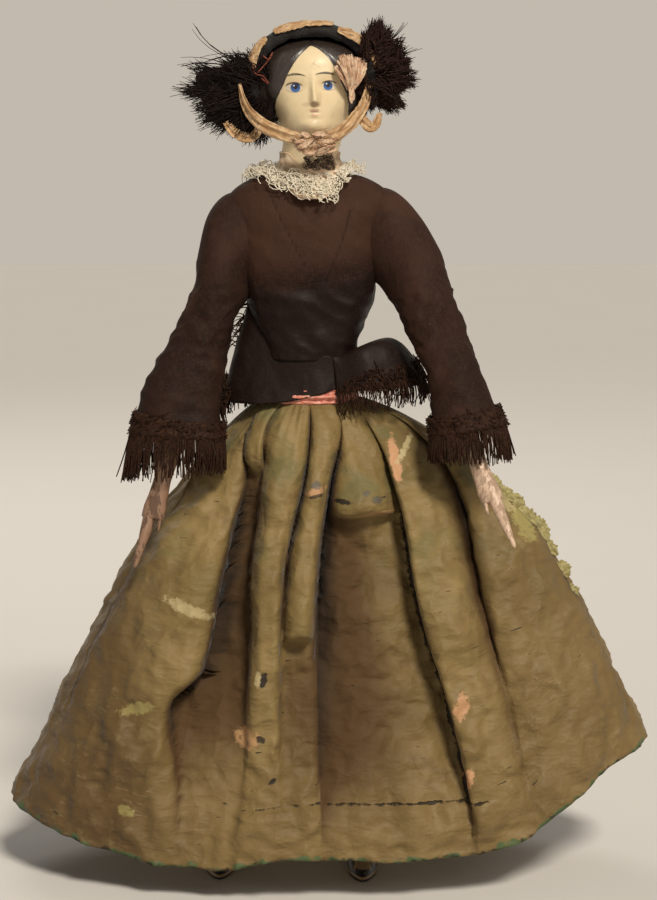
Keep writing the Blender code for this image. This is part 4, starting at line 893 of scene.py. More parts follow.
legForm = {
    "sizes": (
        (58, 4.5, 4.5), (66.4, 4.6, 4.6), (67, 5.2, 5.2), (85, 5.4, 5.4), (108, 4.2, 4.2),
        (128, 3.7, 3.7),
    ),
    "shoeHalfWidth": 5.8, "shoeFront": 19.8, "shoeBack": 11.6,
    "heights": (11, 8.2, 6.2, 4.2, 2.2, 1.1, 0.4, 0.0),
    "shares": (
        (0.62, 0.19, 0.32), (0.70, 0.30, 0.52), (0.82, 0.52, 0.72), (0.93, 0.78, 0.90), (0.99, 0.94, 0.98),
        (1.0, 1.0, 1.0), (0.98, 0.99, 0.97), (0.90, 0.95, 0.90),
    ),
}  # fmt: skip
legPaint = makePaintedLeg({
    "flesh": (0.52, 0.36, 0.27), "tan": (0.34, 0.22, 0.12), "bare": (0.28, 0.17, 0.10),
    "navy": (0.020, 0.022, 0.032), "black": (0.012, 0.011, 0.012), "gold": (0.46, 0.30, 0.12),
})  # fmt: skip


def makeLeg(side, form):
    ankle = ankles[side]
    shin = limbStations(hipAt[side], legDirection(side), form["sizes"])
    shinShare = 0.45
    rings = [(s * shinShare, c, w.length, w.length, w.length) for s, c, w, _ in shin]
    count = len(form["heights"])
    for i, (height, (w, f, b)) in enumerate(zip(form["heights"], form["shares"])):
        place = shinShare + (1 - shinShare) * (i + 1) / count
        at = Vector((ankle.x, ankle.y, height))
        rings.append((place, at, form["shoeHalfWidth"] * w, form["shoeFront"] * f, form["shoeBack"] * b))
    stops = [(s, Vector((*c, w, f, b))) for s, c, w, f, b in rings]
    ringAt = functools.cache(lambda v: flow(stops, v))

    def place(u, v):
        x, y, z, wide, front, back = ringAt(v)
        c, s = math.cos(2 * math.pi * u), math.sin(2 * math.pi * u)
        reach = back if s > 0 else front
        pinch = 1 - 0.18 * ease(0.5, 1, -s) * ease(0.55, 0.7, v)
        point = Vector((x + wide * c * pinch, y + reach * s, max(z, 0.02)))
        forward = (ankle.y - point.y) / form["shoeFront"]
        shoe = ease(13, 11, point.z)
        tongue = ease(0.16, 0.3, forward) * ease(0.62, 0.5, abs(c)) * ease(3.0, 4.5, point.z)
        edge = bell(abs(c) - 0.56, 0.09) * ease(2.4, 3.4, point.z) + bell(point.z - 1.5, 0.5)
        return point, shoe, min(edge, 1.0), tongue

    bm = layGrid(40, 90, place, ("shoe", "shoeLine", "shoeTop"))
    closeEnds(bm)
    settle(addPiece(f"wooden_leg_{side}", bm, legPaint), f"leg_{side}", "painted_wood", f"lower_leg_{side}")


redPaper = makePaper({"red": (0.30, 0.075, 0.06), "faded": (0.45, 0.19, 0.13)})
# distance of each band from the joint above it, and its half width
bandForm = {"elbow": (58, 5.75), "knee": (66, 6.4)}


def paperBand(limb, side, joint, direction, body):
    at, radius = bandForm[limb]
    sizes = ((at - 3, radius, radius), (at, radius + 0.15, radius + 0.15), (at + 3, radius, radius))
    bm = tube(36, 8, limbStations(joint, direction, sizes))
    faceOut(bm, joint + direction * at)
    piece = addPiece(f"{limb}_strip_{side}", bm, redPaper, 0.35)
    settle(piece, f"{body}_{side}", "paper_strip", f"{limb}_band_{side}")


for sideName in sideSign:
    makeForearm(sideName, handForm)
    makeLeg(sideName, legForm)
    paperBand("elbow", sideName, shoulderAt[sideName], armDirection(sideName), "arm")
    paperBand("knee", sideName, hipAt[sideName], legDirection(sideName), "leg")
print("kid body, wooden arms and legs made")


# Skirt and petticoat

skirtForm = {
    "columns": 340, "rows": 126, "crowding": 0.105, "thickness": 0.45, "top": 177.2, "waist": (17.0, 13.3),
    "hemRight": 112, "hemLeft": 126.5, "hemFront": 58, "hemBack": 52, "hemRightZ": 25, "hemLeftZ": 48,
    "hemFrontZ": 15.5, "spreadRight": 0.68, "spreadLeft": 0.38, "spreadFront": 0.6, "easeIn": 0.04,
    "gathers": 44, "gatherDepth": 0.35, "backFolds": 12, "backDepth": 4.0, "swing": 1.4, "lap": 1.35,
    # height of the hem by angle round the front
    "hem": (
        (180, 26), (210, 23), (228.6, 16.8), (242.4, 13.8), (252.4, 13.2), (266.5, 16.8), (285, 16.5),
        (294.4, 17),
        (300, 17.7), (307, 21.4), (314.7, 30.4), (324, 38.5), (334.3, 46.0), (351, 49.5), (360, 48),
    ),
    # each fold: whether it stands out, where it runs (share of the way down, degrees)
    # and how far out (share of the way down, millimetres)
    "folds": (
        (True, ((0, 180), (1, 180)), ((0, 0), (0.4, 1.5), (1, 0.08))),
        (False, ((0, 186), (0.3, 203), (1, 205)),
         ((0, 0), (0.12, -2.2), (0.3, -3.2), (0.7, -2), (1, -0.3))),
        (True, ((0, 198), (0.12, 214), (0.27, 223), (0.44, 227), (0.6, 230), (0.68, 226), (1, 226)),
         ((0, 0), (0.06, -0.4), (0.15, -1), (0.2, -1), (0.34, 3.6), (0.6, 4.6), (0.85, 2), (1, 0.8))),
        (
            False,
            ((0, 216), (0.06, 225), (0.12, 233), (0.2, 242.5), (0.58, 246.5), (0.66, 240), (0.8, 243),
             (1, 246)),
            ((0, 0), (0.06, -2.4), (0.1, -4), (0.2, -9.3), (0.5, -11.5), (0.62, -11), (0.8, -5), (1, -0.8)),
        ),
        (True, ((0, 228), (0.06, 229), (0.12, 238), (0.2, 245.5), (0.3, 247), (1, 250)),
         ((0, 0), (0.05, 2.4), (0.13, 2), (0.17, -5), (0.3, -9), (0.6, -9), (0.8, -4), (1, -0.5))),
        (False, ((0, 238), (0.06, 241), (0.12, 246.5), (0.2, 250.5), (0.37, 252.5), (0.5, 255), (1, 256.5)),
         ((0, 0), (0.05, -2.2), (0.2, -7), (0.4, -7), (0.65, -5), (0.8, -3), (1, 0))),
        (True, ((0, 252), (0.15, 257), (0.37, 257.5), (0.5, 259.2), (1, 260.5)),
         ((0, 0), (0.05, 2.6), (0.3, 4.2), (0.5, 4), (0.65, 1), (0.8, -1.5), (1, 0))),
        (False, ((0, 270), (0.06, 270.5), (0.15, 268.8), (0.36, 263.4), (1, 264.5)),
         ((0, 0), (0.05, -2.4), (0.1, -4), (0.3, -7), (0.45, -6), (0.56, -2), (0.7, -3.5), (1, 0))),
        (True, ((0, 281), (0.15, 274), (0.3, 269.5), (0.52, 268), (1, 268.5)),
         ((0, 0), (0.05, 2.6), (0.26, 3.4), (0.5, 3.2), (0.54, -4), (0.7, -5.5), (1, 0.23))),
        (False, ((0, 296), (0.15, 280), (0.26, 275), (0.37, 272.6), (0.5, 271.6), (1, 272)),
         ((0, 0), (0.05, -2.2), (0.1, -4), (0.2, -9.3), (0.45, -11), (0.6, -8), (0.8, -5.5), (1, -0.3))),
        (
            True, ((0, 309), (0.16, 292), (0.24, 288.5), (0.43, 285), (0.65, 284), (1, 285)),
            ((0, 0), (0.06, 0), (0.15, 1.6), (0.24, 2.5), (0.265, -4.5), (0.45, -6), (0.7, -5.5),
             (0.88, -2.4), (1, 0)),
        ),
        (False,
         ((0, 318), (0.06, 310), (0.1, 307), (0.19, 301), (0.37, 296), (0.5, 295.4), (0.68, 297), (1, 297.6)),
         ((0, 0), (0.05, -2.4), (0.1, -4), (0.2, -8.3), (0.55, -9.5), (0.8, -8), (0.9, -3.4), (1, -0.4))),
        (True, ((0, 328), (0.06, 318.5), (0.15, 309), (0.23, 305.5), (0.41, 301.6), (0.6, 300.8), (1, 301.5)),
         ((0, 0), (0.06, -0.4), (0.12, 1.4), (0.25, 4.8), (0.6, 5), (0.85, 3.4), (1, 0.8))),
        (False, ((0, 341), (0.08, 335), (0.17, 326), (0.34, 315.5), (0.48, 311), (1, 309)),
         ((0, 0), (0.08, -4), (0.22, -8), (0.4, -8), (0.55, -5), (0.72, -2), (1, -0.3))),
        (True, ((0, 349), (0.22, 340.5), (0.38, 330.5), (0.58, 326), (1, 323.5)),
         ((0, 0), (0.2, 2.5), (0.4, 3.5), (0.7, 3), (1, 0.8))),
        (False, ((0, 355), (0.3, 348), (1, 344)), ((0, 0), (0.3, -2.5), (0.7, -1.2), (1, -0.2))),
        (True, ((0, 360), (1, 360)), ((0, 0), (0.4, 1.5), (1, -0.26))),
    ),
    "slitFold": 11, "hollowFolds": (9, 11), "flat": (0.62, 0.2), "cutArea": 0.085,
    # torn ends at the left side: place round and up the skirt, length, width and how far they stand off
    "tatters": (
        (0.826, 0.775, 6, 4, 0.4), (0.818, 0.745, 8, 4.5, 0), (0.829, 0.715, 7, 5, 0.8),
        (0.822, 0.68, 9, 5.5, 0.3), (0.831, 0.65, 8, 5, 1.0), (0.815, 0.62, 6, 4, -0.3),
        (0.828, 0.585, 7, 4, 0.5), (0.824, 0.52, 6, 5, 0.8), (0.812, 0.46, 5, 3.5, 0),
    ),
}  # fmt: skip
olive = {
    "flat": (620, 200), "olive": (0.190, 0.128, 0.044), "pale": (0.255, 0.176, 0.066),
    "brownish": (0.125, 0.075, 0.027), "green": (0.150, 0.128, 0.048), "rubbedAndHighlight": (0.36, 0.285, 0.135),
    "soilAndShade": (0.060, 0.027, 0.0085), "creaseShadeAndGaps": (0.012, 0.008, 0.005), "lining": (0.56, 0.30, 0.155),
    "peach": (0.40, 0.23, 0.105), "cream": (0.52, 0.42, 0.22), "sunned": (0.38, 0.33, 0.115),
    "ink": (0.060, 0.072, 0.085), "verdigris": (0.040, 0.105, 0.042),
    # torn and bleached patches: middle, half length, half width, tilt, colour and depth
    "patches": (
        ((-22.5, 58.5), 5.2, 4.2, 0, "peach", 0.9), ((-17.6, 58.5), 1.3, 2.0, 60, "creaseShadeAndGaps", 0.9),
        ((-44, 104.5), 11, 2.2, -20, "cream", 0.6), ((54.3, 70.5), 5.5, 3.0, 70, "lining", 0.8),
        ((57.3, 45.5), 5.0, 1.9, 80, "lining", 0.8), ((31.0, 157), 9.0, 2.2, -78, "lining", 0.95),
        ((34.6, 160), 6.5, 1.5, 60, "cream", 0.9), ((-62.5, 68.5), 8, 2.6, 15, "sunned", 0.5),
        ((-66, 32), 3.4, 2.6, 0, "sunned", 0.55), ((78, 133), 9.0, 4.0, -60, "sunned", 0.7),
        ((72, 141), 7.0, 2.6, -60, "cream", 0.6), ((2.5, 146.5), 4.6, 1.5, 15, "lining", 0.7),
        ((2.8, 144.8), 3.4, 0.7, 10, "creaseShadeAndGaps", 0.8), ((-16.5, 81), 3.0, 1.4, 80, "creaseShadeAndGaps", 0.95),
        ((-18.5, 81), 3.2, 1.2, 80, "cream", 0.6), ((-13, 44.5), 2.0, 1.1, 40, "creaseShadeAndGaps", 0.95),
        ((24, 137.6), 8.5, 1.1, 6, "peach", 0.75), ((12.6, 142.5), 3.6, 1.0, -4, "creaseShadeAndGaps", 0.95),
        ((2.6, 148.6), 2.0, 1.6, 0, "ink", 0.6), ((24.3, 143), 2.4, 1.6, 0, "ink", 0.6),
        ((20.5, 145.5), 1.4, 1.2, 0, "ink", 0.5),
    ),
}  # fmt: skip


def skirtBase(form, angle, t, scale=1.0):
    c, s = math.cos(angle), math.sin(angle)
    power = form["spreadLeft" if c > 0 else "spreadRight"] * c * c + form["spreadFront"] * s * s
    start = form["easeIn"] ** power
    spread = ((t + form["easeIn"]) ** power - start) / ((1 + form["easeIn"]) ** power - start)
    hemX = form["hemLeft" if c > 0 else "hemRight"] * scale
    hemY = form["hemBack" if s > 0 else "hemFront"] * scale
    sideZ = form["hemLeftZ" if c > 0 else "hemRightZ"]
    wide, deep = form["waist"]
    hemZ = form["hemFrontZ"] + (sideZ - form["hemFrontZ"]) * abs(c) ** 3
    if s < 0:
        hemZ = flow(form["hem"], math.degrees(angle) % 360)
    x = (wide + (hemX - wide) * spread) * c
    y = (deep + (hemY - deep) * spread) * s
    z = form["top"] + (hemZ - form["top"]) * t
    return Vector((x, y, z)), Vector((c / hemX, s / hemY, 0)).normalized()


# how far the folds stand out at an angle, how shut in the cloth is there, which sets the painted fold shade,
# and how far the valley slips aside
def foldOut(form, knots, degrees, t):
    if degrees < 180:
        edge = ease(0, 18, degrees) * ease(180, 162, degrees)
        swell = 3.6 * t**0.7 * (1 - t**0.7) + 0.05 * t
        wave = -math.cos(math.radians(form["backFolds"] * degrees))
        out = wave * form["backDepth"] * swell * edge + knots[0][2] * (1 - edge)
        return out, (0.5 - 0.5 * wave) * swell * edge * 0.6, 0.0
    k = next((i for i in range(len(knots) - 1) if degrees <= knots[i + 1][1]), len(knots) - 2)
    (standsA, a, outA), (_, b, outB) = knots[k], knots[k + 1]
    share = (degrees - a) / max(b - a, 0.01)
    if standsA:  # measured from the valley to the ridge
        share, outA, outB = 1 - share, outB, outA
    shape = (1 - (1 - share) ** 3.8) ** 0.62
    out = outA + (outB - outA) * shape
    valley = k + 1 if standsA else k
    high = max(knots[valley - 1][2], knots[valley + 1][2])
    slip = form["lap"] * math.cos(math.radians(knots[valley][1])) * (high - outA) * (1 - shape)
    return out, (1 - shape) * max(outB - outA, 0) / 12 + max(-out, 0) / 9, slip


sunnedSilk = makeRibbon("sunned_silk", {
    "pale": (0.42, 0.37, 0.15), "warm": (0.31, 0.26, 0.095), "deep": (0.20, 0.155, 0.055),
    "stain": (0.11, 0.075, 0.028),
})  # fmt: skip


def makeSkirt(form):
    @functools.cache
    def knotsAt(t):
        return [(stands, flow(track, t), flow(outs, t)) for stands, track, outs in form["folds"]]

    def place(u, v):
        t = 1 - v
        knots = knotsAt(t)
        turn = 0.25 + u + form["crowding"] * math.sin(2 * math.pi * u)
        degrees = (turn * 360) % 360
        angle = math.radians(degrees)
        point, outward = skirtBase(form, angle, t)
        out, deep, slip = foldOut(form, knots, degrees, t)
        out *= form["swing"]
        low, high = (knots[k][1] for k in form["hollowFolds"])
        # the painted shade in the hollow at the middle is darkest at the right
        if low < degrees < high:  # the hollow at the middle is darkest at the right
            deep *= 2.0 - 1.75 * (degrees - low) / (high - low)
        gather = form["gatherDepth"] * math.exp(-t / 0.1) * ease(0, 0.02, t)
        out += gather * math.sin(form["gathers"] * angle + 2 * math.sin(7 * angle))
        crumple = ease(0.03, 0.2, t)
        out += noise.noise(point * 0.035) * 1.6 * crumple
        out += (0.3 - abs(grain(point, 0.05, 0.028))) * 3.2 * crumple
        out += (0.3 - abs(noise.noise(point * 0.1 + Vector((3, 7, 1))))) * 2.1 * crumple
        out += (0.25 - abs(grain(point, 0.12, 0.26))) * 1.6 * crumple
        tuck = ease(250, 258, degrees) * ease(308, 300, degrees)
        out += 2.4 * ease(0.878, 0.894, t) * ease(1.0, 0.93, t) * tuck
        lift = 1.3 * noise.noise(Vector((point.x * 0.05, point.y * 0.05, 4))) * ease(0.9, 1, t)
        point = point + outward * out + upward * lift + leftward * slip
        # marks a painted shadow line in the crease beside the slit fold and under the hem tuck
        creaseShadeAndGaps = bell(degrees - knots[form["slitFold"]][1], 0.55) * ease(0.03, 0.08, t) * ease(0.95, 0.85, t)
        split = 0.58 + 0.1 * ease(268, 284, degrees)
        creaseShadeAndGaps = max(creaseShadeAndGaps, split * bell(t - 0.882, 0.007) * tuck)
        return point, deep, creaseShadeAndGaps, ease(0.965, 1.0, t)

    bm = layGrid(form["columns"], form["rows"], place, ("foldShade", "creaseShadeAndGaps", "hemEdge"))
    faceOut(bm, Vector((0, 0, 100)))
    skirt = addPiece("gathered_skirt", bm, makeOliveTaffeta(olive), form["thickness"])
    settle(skirt, "figure", "olive_silk", "skirt")

    bm = bmesh.new()
    for i, (u, v, length, wide, off) in enumerate(form["tatters"]):
        root = place(u, v)[0]
        fall = (place(u, v - 0.03)[0] - root).normalized() * length
        out = Vector((root.x, root.y, 0)).normalized()
        middle = root + fall * 0.5 + out * wide * 0.35
        points = (root + out * wide * 0.15, middle, root + fall + out * (wide * 0.3 + off))
        widths = (wide * 0.6, wide, wide * 0.35)
        joinInto(bm, strip(points, widths, [(0.25, -1, 0.15)] * 3, 16, 6, 0.9, 0.6, 3.0 * i))
    tatters = settle(addPiece("torn_silk_ends", bm, sunnedSilk, 0.25), "figure", "olive_silk")


makeSkirt(skirtForm)
cotton = makeMuslin("petticoat_cotton", (0.66, 0.60, 0.48), (0.58, 0.50, 0.37), (0.40, 0.33, 0.23))
oliveBand = makeBrownSilk("olive_band_silk", {
    "brown": (0.20, 0.16, 0.065), "dark": (0.15, 0.11, 0.045), "faded": (0.27, 0.22, 0.10),
    "seam": (0.05, 0.035, 0.015), "lint": (0.4, 0.33, 0.2),
}, (120, 8))  # fmt: skip


petticoatForm = {
    "columns": 220, "rows": 50, "thickness": 0.4,
    "scale": 0.95, "reach": 0.93, "drop": 2.5, "backEase": 0.45, "gap": 0.9,
    # share of the way down and millimetres inside the skirt
    "inset": (
        (0, 0), (0.05, 3.8), (0.1, 6.7), (0.15, 10), (0.2, 11.8), (0.3, 13.1), (0.5, 13.6), (0.65, 13.3),
        (0.8, 11.6), (1, 2.4),
    ),
}  # fmt: skip


def makePetticoat(form, under):
    def place(u, v):
        t = (1 - v) * under["reach"]
        angle = 2 * math.pi * u
        point, outward = skirtBase(form, angle, t, under["scale"])
        ruffle = 0.5 * math.sin(34 * angle + math.sin(5 * angle)) * ease(0, 0.12, t)
        inset = under["gap"] + flow(under["inset"], t) * (1 - under["backEase"] * max(math.sin(angle), 0))
        return point + outward * (ruffle - inset) - upward * under["drop"]

    bm = layGrid(under["columns"], under["rows"], place)
    faceOut(bm, Vector((0, 0, 100)))
    petticoat = addPiece("cotton_petticoat", bm, cotton, under["thickness"])
    settle(petticoat, "figure", "petticoat_cotton", "petticoat")


makePetticoat(skirtForm, petticoatForm)


# a band round the waist, with small wrinkles
def waistBand(name, wide, deep, low, high, thick, finish, slot, node):
    def place(u, v):
        angle = 2 * math.pi * u
        c, s = math.cos(angle), math.sin(angle)
        point = Vector((wide * c, deep * s, low + (high - low) * v))
        return point + Vector((c, s, 0)) * noise.noise(point * 0.35) * 0.12

    bm = layGrid(96, 10, place)
    faceOut(bm, Vector((0, 0, low)))
    return settle(addPiece(name, bm, finish, thick), "figure", slot, node)


waistBand("petticoat_waistband", 15.9, 12.3, 177.6, 184.4, 0.5, cotton, "petticoat_cotton", "petticoat_band")
waistBand("skirt_waistband", 17.0, 13.35, 177.6, 184.4, 0.6, oliveBand, "olive_silk", "skirt_band")
print("skirt and petticoat hung")

sashForm = {"wide": 17.8, "deep": 14.1, "low": 175.6, "high": 181.8}
coralRibbon = makeRibbon("coral_sash", corals)


def makeSash(form):
    def place(u, v):
        angle = 2 * math.pi * u
        c, s = math.cos(angle), math.sin(angle)
        point = Vector((form["wide"] * c, form["deep"] * s, form["low"] + (form["high"] - form["low"]) * v))
        front = ease(0.6, 0.95, -s)
        crush = noise.noise(Vector((point.x * 0.5, v * 5, 2))) * 0.5
        crush += noise.noise(Vector((point.x * 0.9, v * 9, 5))) * 0.35
        pout = front * (1.6 * math.sin(math.pi * v) + 0.5 * math.sin(5 * math.pi * v))
        return point + Vector((c, s, 0)) * (crush * (0.3 + front) + pout + 0.25)

    bm = layGrid(150, 22, place)
    faceOut(bm, Vector((0, 0, 180)))
    settle(addPiece("crumpled_sash", bm, coralRibbon, 0.3), "figure", "sash_ribbon", "sash")


makeSash(sashForm)


# Jacket

bodiceForm = {
    "columns": 150, "rows": 92, "armholeX": 24.0, "armholeSoft": 1.5, "thickness": 0.6,
    "flat": (0.15, 0.075), "cutArea": 0.0078,
    # height, half width, half depth
    "outline": (
        (191.6, 17.0, 14.0), (197, 17.6, 14.1), (206, 20.6, 14.4), (213, 23.2, 14.8), (220, 25.2, 15.2),
        (230, 26.4, 15.4), (240, 27.5, 14.8), (246, 30.0, 13.6), (250, 30.0, 12.6), (253.5, 27.4, 12.0),
        (256.3, 23.2, 11.7), (258.2, 18.6, 11.4), (259.2, 13.4, 11.0),
    ),
    "shoulderReach": 9.0,
    # front darts as (height, x) lines, and the height of the seam below the chest
    "darts": (((219.5, 1.8), (238, -8), (254.5, -16)), ((219.5, 5.5), (236, 12), (247, 15))),
    "chestSeam": 220.4,
}  # fmt: skip
jacketSilk = makeBrownSilk("brown_jacket_silk", browns, (150, 75))
sleeveSilk = makeBrownSilk("brown_sleeve_silk", browns, (80, 90))
flapSilk = makeBrownSilk("brown_flap_silk", browns, (60, 16))


def makeBodice(form):
    stops = along(form["outline"])
    darts = [tuple(sorted(d)) for d in form["darts"]]
    ringAt = functools.cache(lambda v: flow(stops, v))

    def place(u, v):
        z, wide, deep = ringAt(v)
        angle = math.pi / 2 + 2 * math.pi * u
        c, s = math.cos(angle), math.sin(angle)
        x = wide * math.copysign(abs(c) ** 0.8, c)
        soft = form["armholeSoft"]
        limit = form["armholeX"] + form["shoulderReach"] * ease(242.5, 247, z) - soft
        if abs(x) > limit:  # the armhole wall inside the sleeve head
            x = math.copysign(limit + soft * math.tanh((abs(x) - limit) / soft), x)
        y = deep * math.copysign(abs(s) ** 0.9, s)
        point = Vector((x, y, z))
        seam = 0.0
        if s < 0:
            for dart in darts:
                if dart[0][0] < z < dart[-1][0]:
                    seam = max(seam, 0.8 * bell(x - flow(dart, z), 0.85))
        out = Vector((c, s, 0))
        crease = grain(point, 0.11, 0.19)
        slanted = Vector((point.x * 0.1 + 5, point.y * 0.1, point.z * 0.14 + point.x * 0.08))
        fold = 0.3 - abs(noise.noise(slanted))
        line = form["chestSeam"] + 0.13 * x
        below = ease(line + 2, line - 3, z)
        pull = ease(258, 250, z) * (0.3 + 0.6 * below)
        chest = 0.6 * ease(0.3, -0.7, s) * ease(line - 8, line + 12, z)
        seam = max(seam, 0.55 * bell(z - line, 0.5) * (s < 0))
        satin = 0.7 * ease(line + 9, line - 7, z) - chest
        return point + out * ((crease * 0.8 + fold * 1.7) * pull - 0.25 * seam), seam, satin

    bm = layGrid(form["columns"], form["rows"], place, ("seam", "satin"))
    faceOut(bm, Vector((0, 0, 220)))
    bodice = addPiece("jacket_body", bm, jacketSilk, form["thickness"])
    settle(bodice, "figure", "brown_silk", "jacket_bodice")


sleeveForm = {
    "columns": 88, "rows": 90, "thickness": 0.6, "flat": (0.098, 0.092), "cutArea": 0.0072,
    # outer x and z, inner x and z, y, half depth: from inside the bodice down to the cuff
    "right": (
        (20, 253.5, 20, 222, 0, 8.5), (31, 251.3, 21.5, 218.5, -0.5, 11.6),
        (37.4, 243.6, 21.8, 215.5, -2.5, 12.2), (40.6, 230, 23.6, 212, -4.5, 11.8),
        (43.4, 216, 25.8, 209, -6.3, 11), (48.2, 205, 28.7, 200, -8.7, 10),
        (60.2, 183.2, 32.2, 176.2, -15, 9.2), (64.2, 167, 31.8, 164.9, -18.8, 8.9),
    ),
    "left": (
        (20, 254.5, 20, 222, 0, 8.5), (30, 253.2, 23.8, 219.5, -1, 11.6),
        (37.6, 247, 25.2, 218.5, -1.8, 12.2), (46.8, 233.1, 27.8, 215.5, -5.5, 11.8),
        (51.9, 217.2, 32.1, 209.2, -11, 10.8), (56.7, 203.3, 37.1, 198.2, -17, 9.6),
        (60.9, 191.2, 42.4, 187, -22.7, 9.2), (69.4, 172, 44.1, 167.9, -32.2, 8.9),
    ),
    "fringe": {"right": (13.5, 19), "left": (11, 15)}, "heading": 7.0, "threads": 280, "loops": 260,
    "fadingAndLight": {"right": 0.2, "left": 0.45},
}  # fmt: skip


def sleeveStations(side, form):
    sign = sideSign[side]
    run, stations = 0.0, []
    for i, (xo, zo, xi, zi, y, deep) in enumerate(form[side]):
        outer, inner = Vector((sign * xo, y, zo)), Vector((sign * xi, y, zi))
        centre = (outer + inner) / 2
        if i:
            run += (centre - stations[-1][1]).length
        stations.append((run, centre, (outer - inner) / 2, backward * deep))
    return [(s / run, c, w, b) for s, c, w, b in stations]


# a fringe thread: the way it hangs, how it sways and how far it bellies out
def hangThread(top, way, sway, length, outward, swell, roll):
    points = []
    for k in range(5):
        s = k / 4
        belly = outward * swell * math.sin(s * roll)
        points.append((top + (way + sway * s) * length * s + belly, 1.0 - 0.25 * s))
    return points


def makeSleeve(side, form):
    sign = sideSign[side]
    stations = sleeveStations(side, form)
    ringAt = ringsOf(stations)

    def place(u, v):
        centre, wide, deep = ringAt(v)
        angle = 2 * math.pi * u
        c, s = math.cos(angle), math.sin(angle)
        point = centre + wide * c + deep * s
        out = (point - centre).normalized()
        loose = ease(0.15, 0.4, v)
        crease = noise.noise(Vector((point.x * 0.1, point.y * 0.1, point.z * 0.09 + sign * point.x * 0.05)))
        fold = 0.26 - abs(noise.noise(Vector((point.x * 0.07 + 9 * sign, point.y * 0.08, point.z * 0.13))))
        crush = (0.22 - abs(noise.noise(point * 0.2 + Vector((0, 0, sign * 5))))) * bell(v - 0.5, 0.2)
        inner = bell(u - 0.5, 0.012) * ease(0.25, 0.35, v)
        rucked = (crease * 0.7 + fold * 1.3 + crush * 2.0) * loose
        # paler towards the shoulder and darker towards the cuff; the sleeve at the doll's left is painted
        # paler still as painted light
        return point + out * (rucked - 0.35 * inner), inner, 0.5 * v - form["fadingAndLight"][side]

    bm = layGrid(form["columns"], form["rows"], place, ("seam", "satin"))
    faceOut(bm, stations[5][1])
    sleeve = addPiece(f"bell_sleeve_{side}", bm, sleeveSilk, form["thickness"])
    shoulderBlend(sleeve)
    settle(sleeve, None, "brown_silk", f"sleeve_{side}")

    # braid heading and hanging threads round the cuff
    hang = (armDirection(side) * 0.3 - upward * 0.7).normalized()
    (_, above, wideAbove, deepAbove), (_, cuff, wide, deep) = stations[-2:]
    span = (cuff - above).length

    def edgePoint(angle, up, out):
        share = up / span
        centre = cuff.lerp(above, share)
        across = wide.lerp(wideAbove, share) * math.cos(angle)
        point = centre + across + deep.lerp(deepAbove, share) * math.sin(angle)
        return point + (point - centre).normalized() * out

    def headingPlace(u, v):
        angle = 2 * math.pi * u
        point = edgePoint(angle, form["heading"] * (1 - v) - 0.8, 0.9 + 0.5 * math.sin(math.pi * v))
        rough = noise.noise(point * 0.9) * 0.45 + 0.3 * math.sin(math.pi * 3 * v)
        return point + (point - cuff).normalized() * rough

    bm = layGrid(150, 14, headingPlace)
    faceOut(bm, cuff)
    heading = addPiece(f"cuff_braid_{side}", bm, brownThread, 0.6)
    settle(heading, f"arm_{side}", "brown_fringe", f"sleeve_fringe_{side}")

    threads = []
    shortest, longest = form["fringe"][side]
    for i in range(form["threads"]):
        angle = 2 * math.pi * (i + dice.uniform(-0.3, 0.3)) / form["threads"]
        top = edgePoint(angle, 1.0, 0.9)
        length = (shortest + (longest - shortest) * (0.5 + 0.5 * math.cos(angle))) * dice.uniform(0.86, 1.06)
        sway = Vector((dice.gauss(0, 0.06), dice.gauss(0, 0.06), 0))
        outward = (top - cuff).normalized()
        threads.append(hangThread(top, hang, sway, length, outward, 0.9, 2.2))
    for i in range(form["loops"]):  # fluff standing out of the braid
        angle = dice.uniform(0, 2 * math.pi)
        at = form["heading"] * dice.uniform(0.0, 1.0) - 0.8
        start = edgePoint(angle, at, 0.9)
        middle = edgePoint(angle + dice.gauss(0, 0.05), at + dice.gauss(0, 0.9), 2.0)
        end = edgePoint(angle + dice.gauss(0, 0.09), at + dice.gauss(0, 1.2), 1.0)
        threads.append([(start, 0.8), (middle, 0.8), (end, 0.6)])
    fringe = addThreads(f"cuff_fringe_{side}", threads, 0.29, brownThread)
    settle(fringe, f"arm_{side}", "brown_fringe")


makeBodice(bodiceForm)
for sideName in sideSign:
    makeSleeve(sideName, sleeveForm)

flapForm = {
    "fringe": 9.5,
    # stops by angle of the height that it hangs from, the reach out, the height of the rim
    # and the swell above the fall
    "right": {
        "ends": (150, 318), "fringed": (150, 196), "satin": 0.7, "peak": 1.0, "flare": 1.3,
        "flat": (0.066, 0.024),
        "hang": (
            (150, 196), (165, 208), (176, 212), (190, 211), (206, 203), (224, 195.5), (240, 193.6),
            (318, 193.6),
        ),
        "reach": ((150, 14.5), (176, 10), (190, 10), (215, 8), (240, 4), (262, 2.4), (285, 2.2), (318, 2.0)),
        "rim": ((150, 178.4), (190, 176), (225, 176.2), (252, 177.4), (285, 180), (318, 183)),
        "swell": ((150, 4), (170, 5), (190, 2), (215, 0), (318, 0)),
    },
    "left": {
        "ends": (300, 368), "fringed": (300, 368), "satin": 0.6, "peak": 1.25, "flare": 0.9,
        "flat": (0.038, 0.028), "hang": ((300, 193.6), (368, 193.6)),
        "reach": ((300, 2.6), (308, 6), (318, 13), (335, 19.5), (352, 24.5), (368, 25.5)),
        "rim": ((300, 179.5), (318, 181.5), (335, 182), (352, 182.5), (368, 184)),
        "swell": ((300, 1), (308, 4), (318, 8), (335, 11), (352, 11.5), (368, 8)),
    },
    "back": {
        "ends": (13, 145), "fringed": (13, 145), "satin": 0.2, "peak": 1.0, "flare": 0.9,
        "flat": (0.06, 0.0215), "hang": ((13, 193.6), (145, 193.6)), "reach": ((13, 21), (145, 13)),
        "rim": ((13, 183.4), (145, 179.1)), "swell": ((13, 0.5), (80, 2), (145, 1)),
    },
}  # fmt: skip


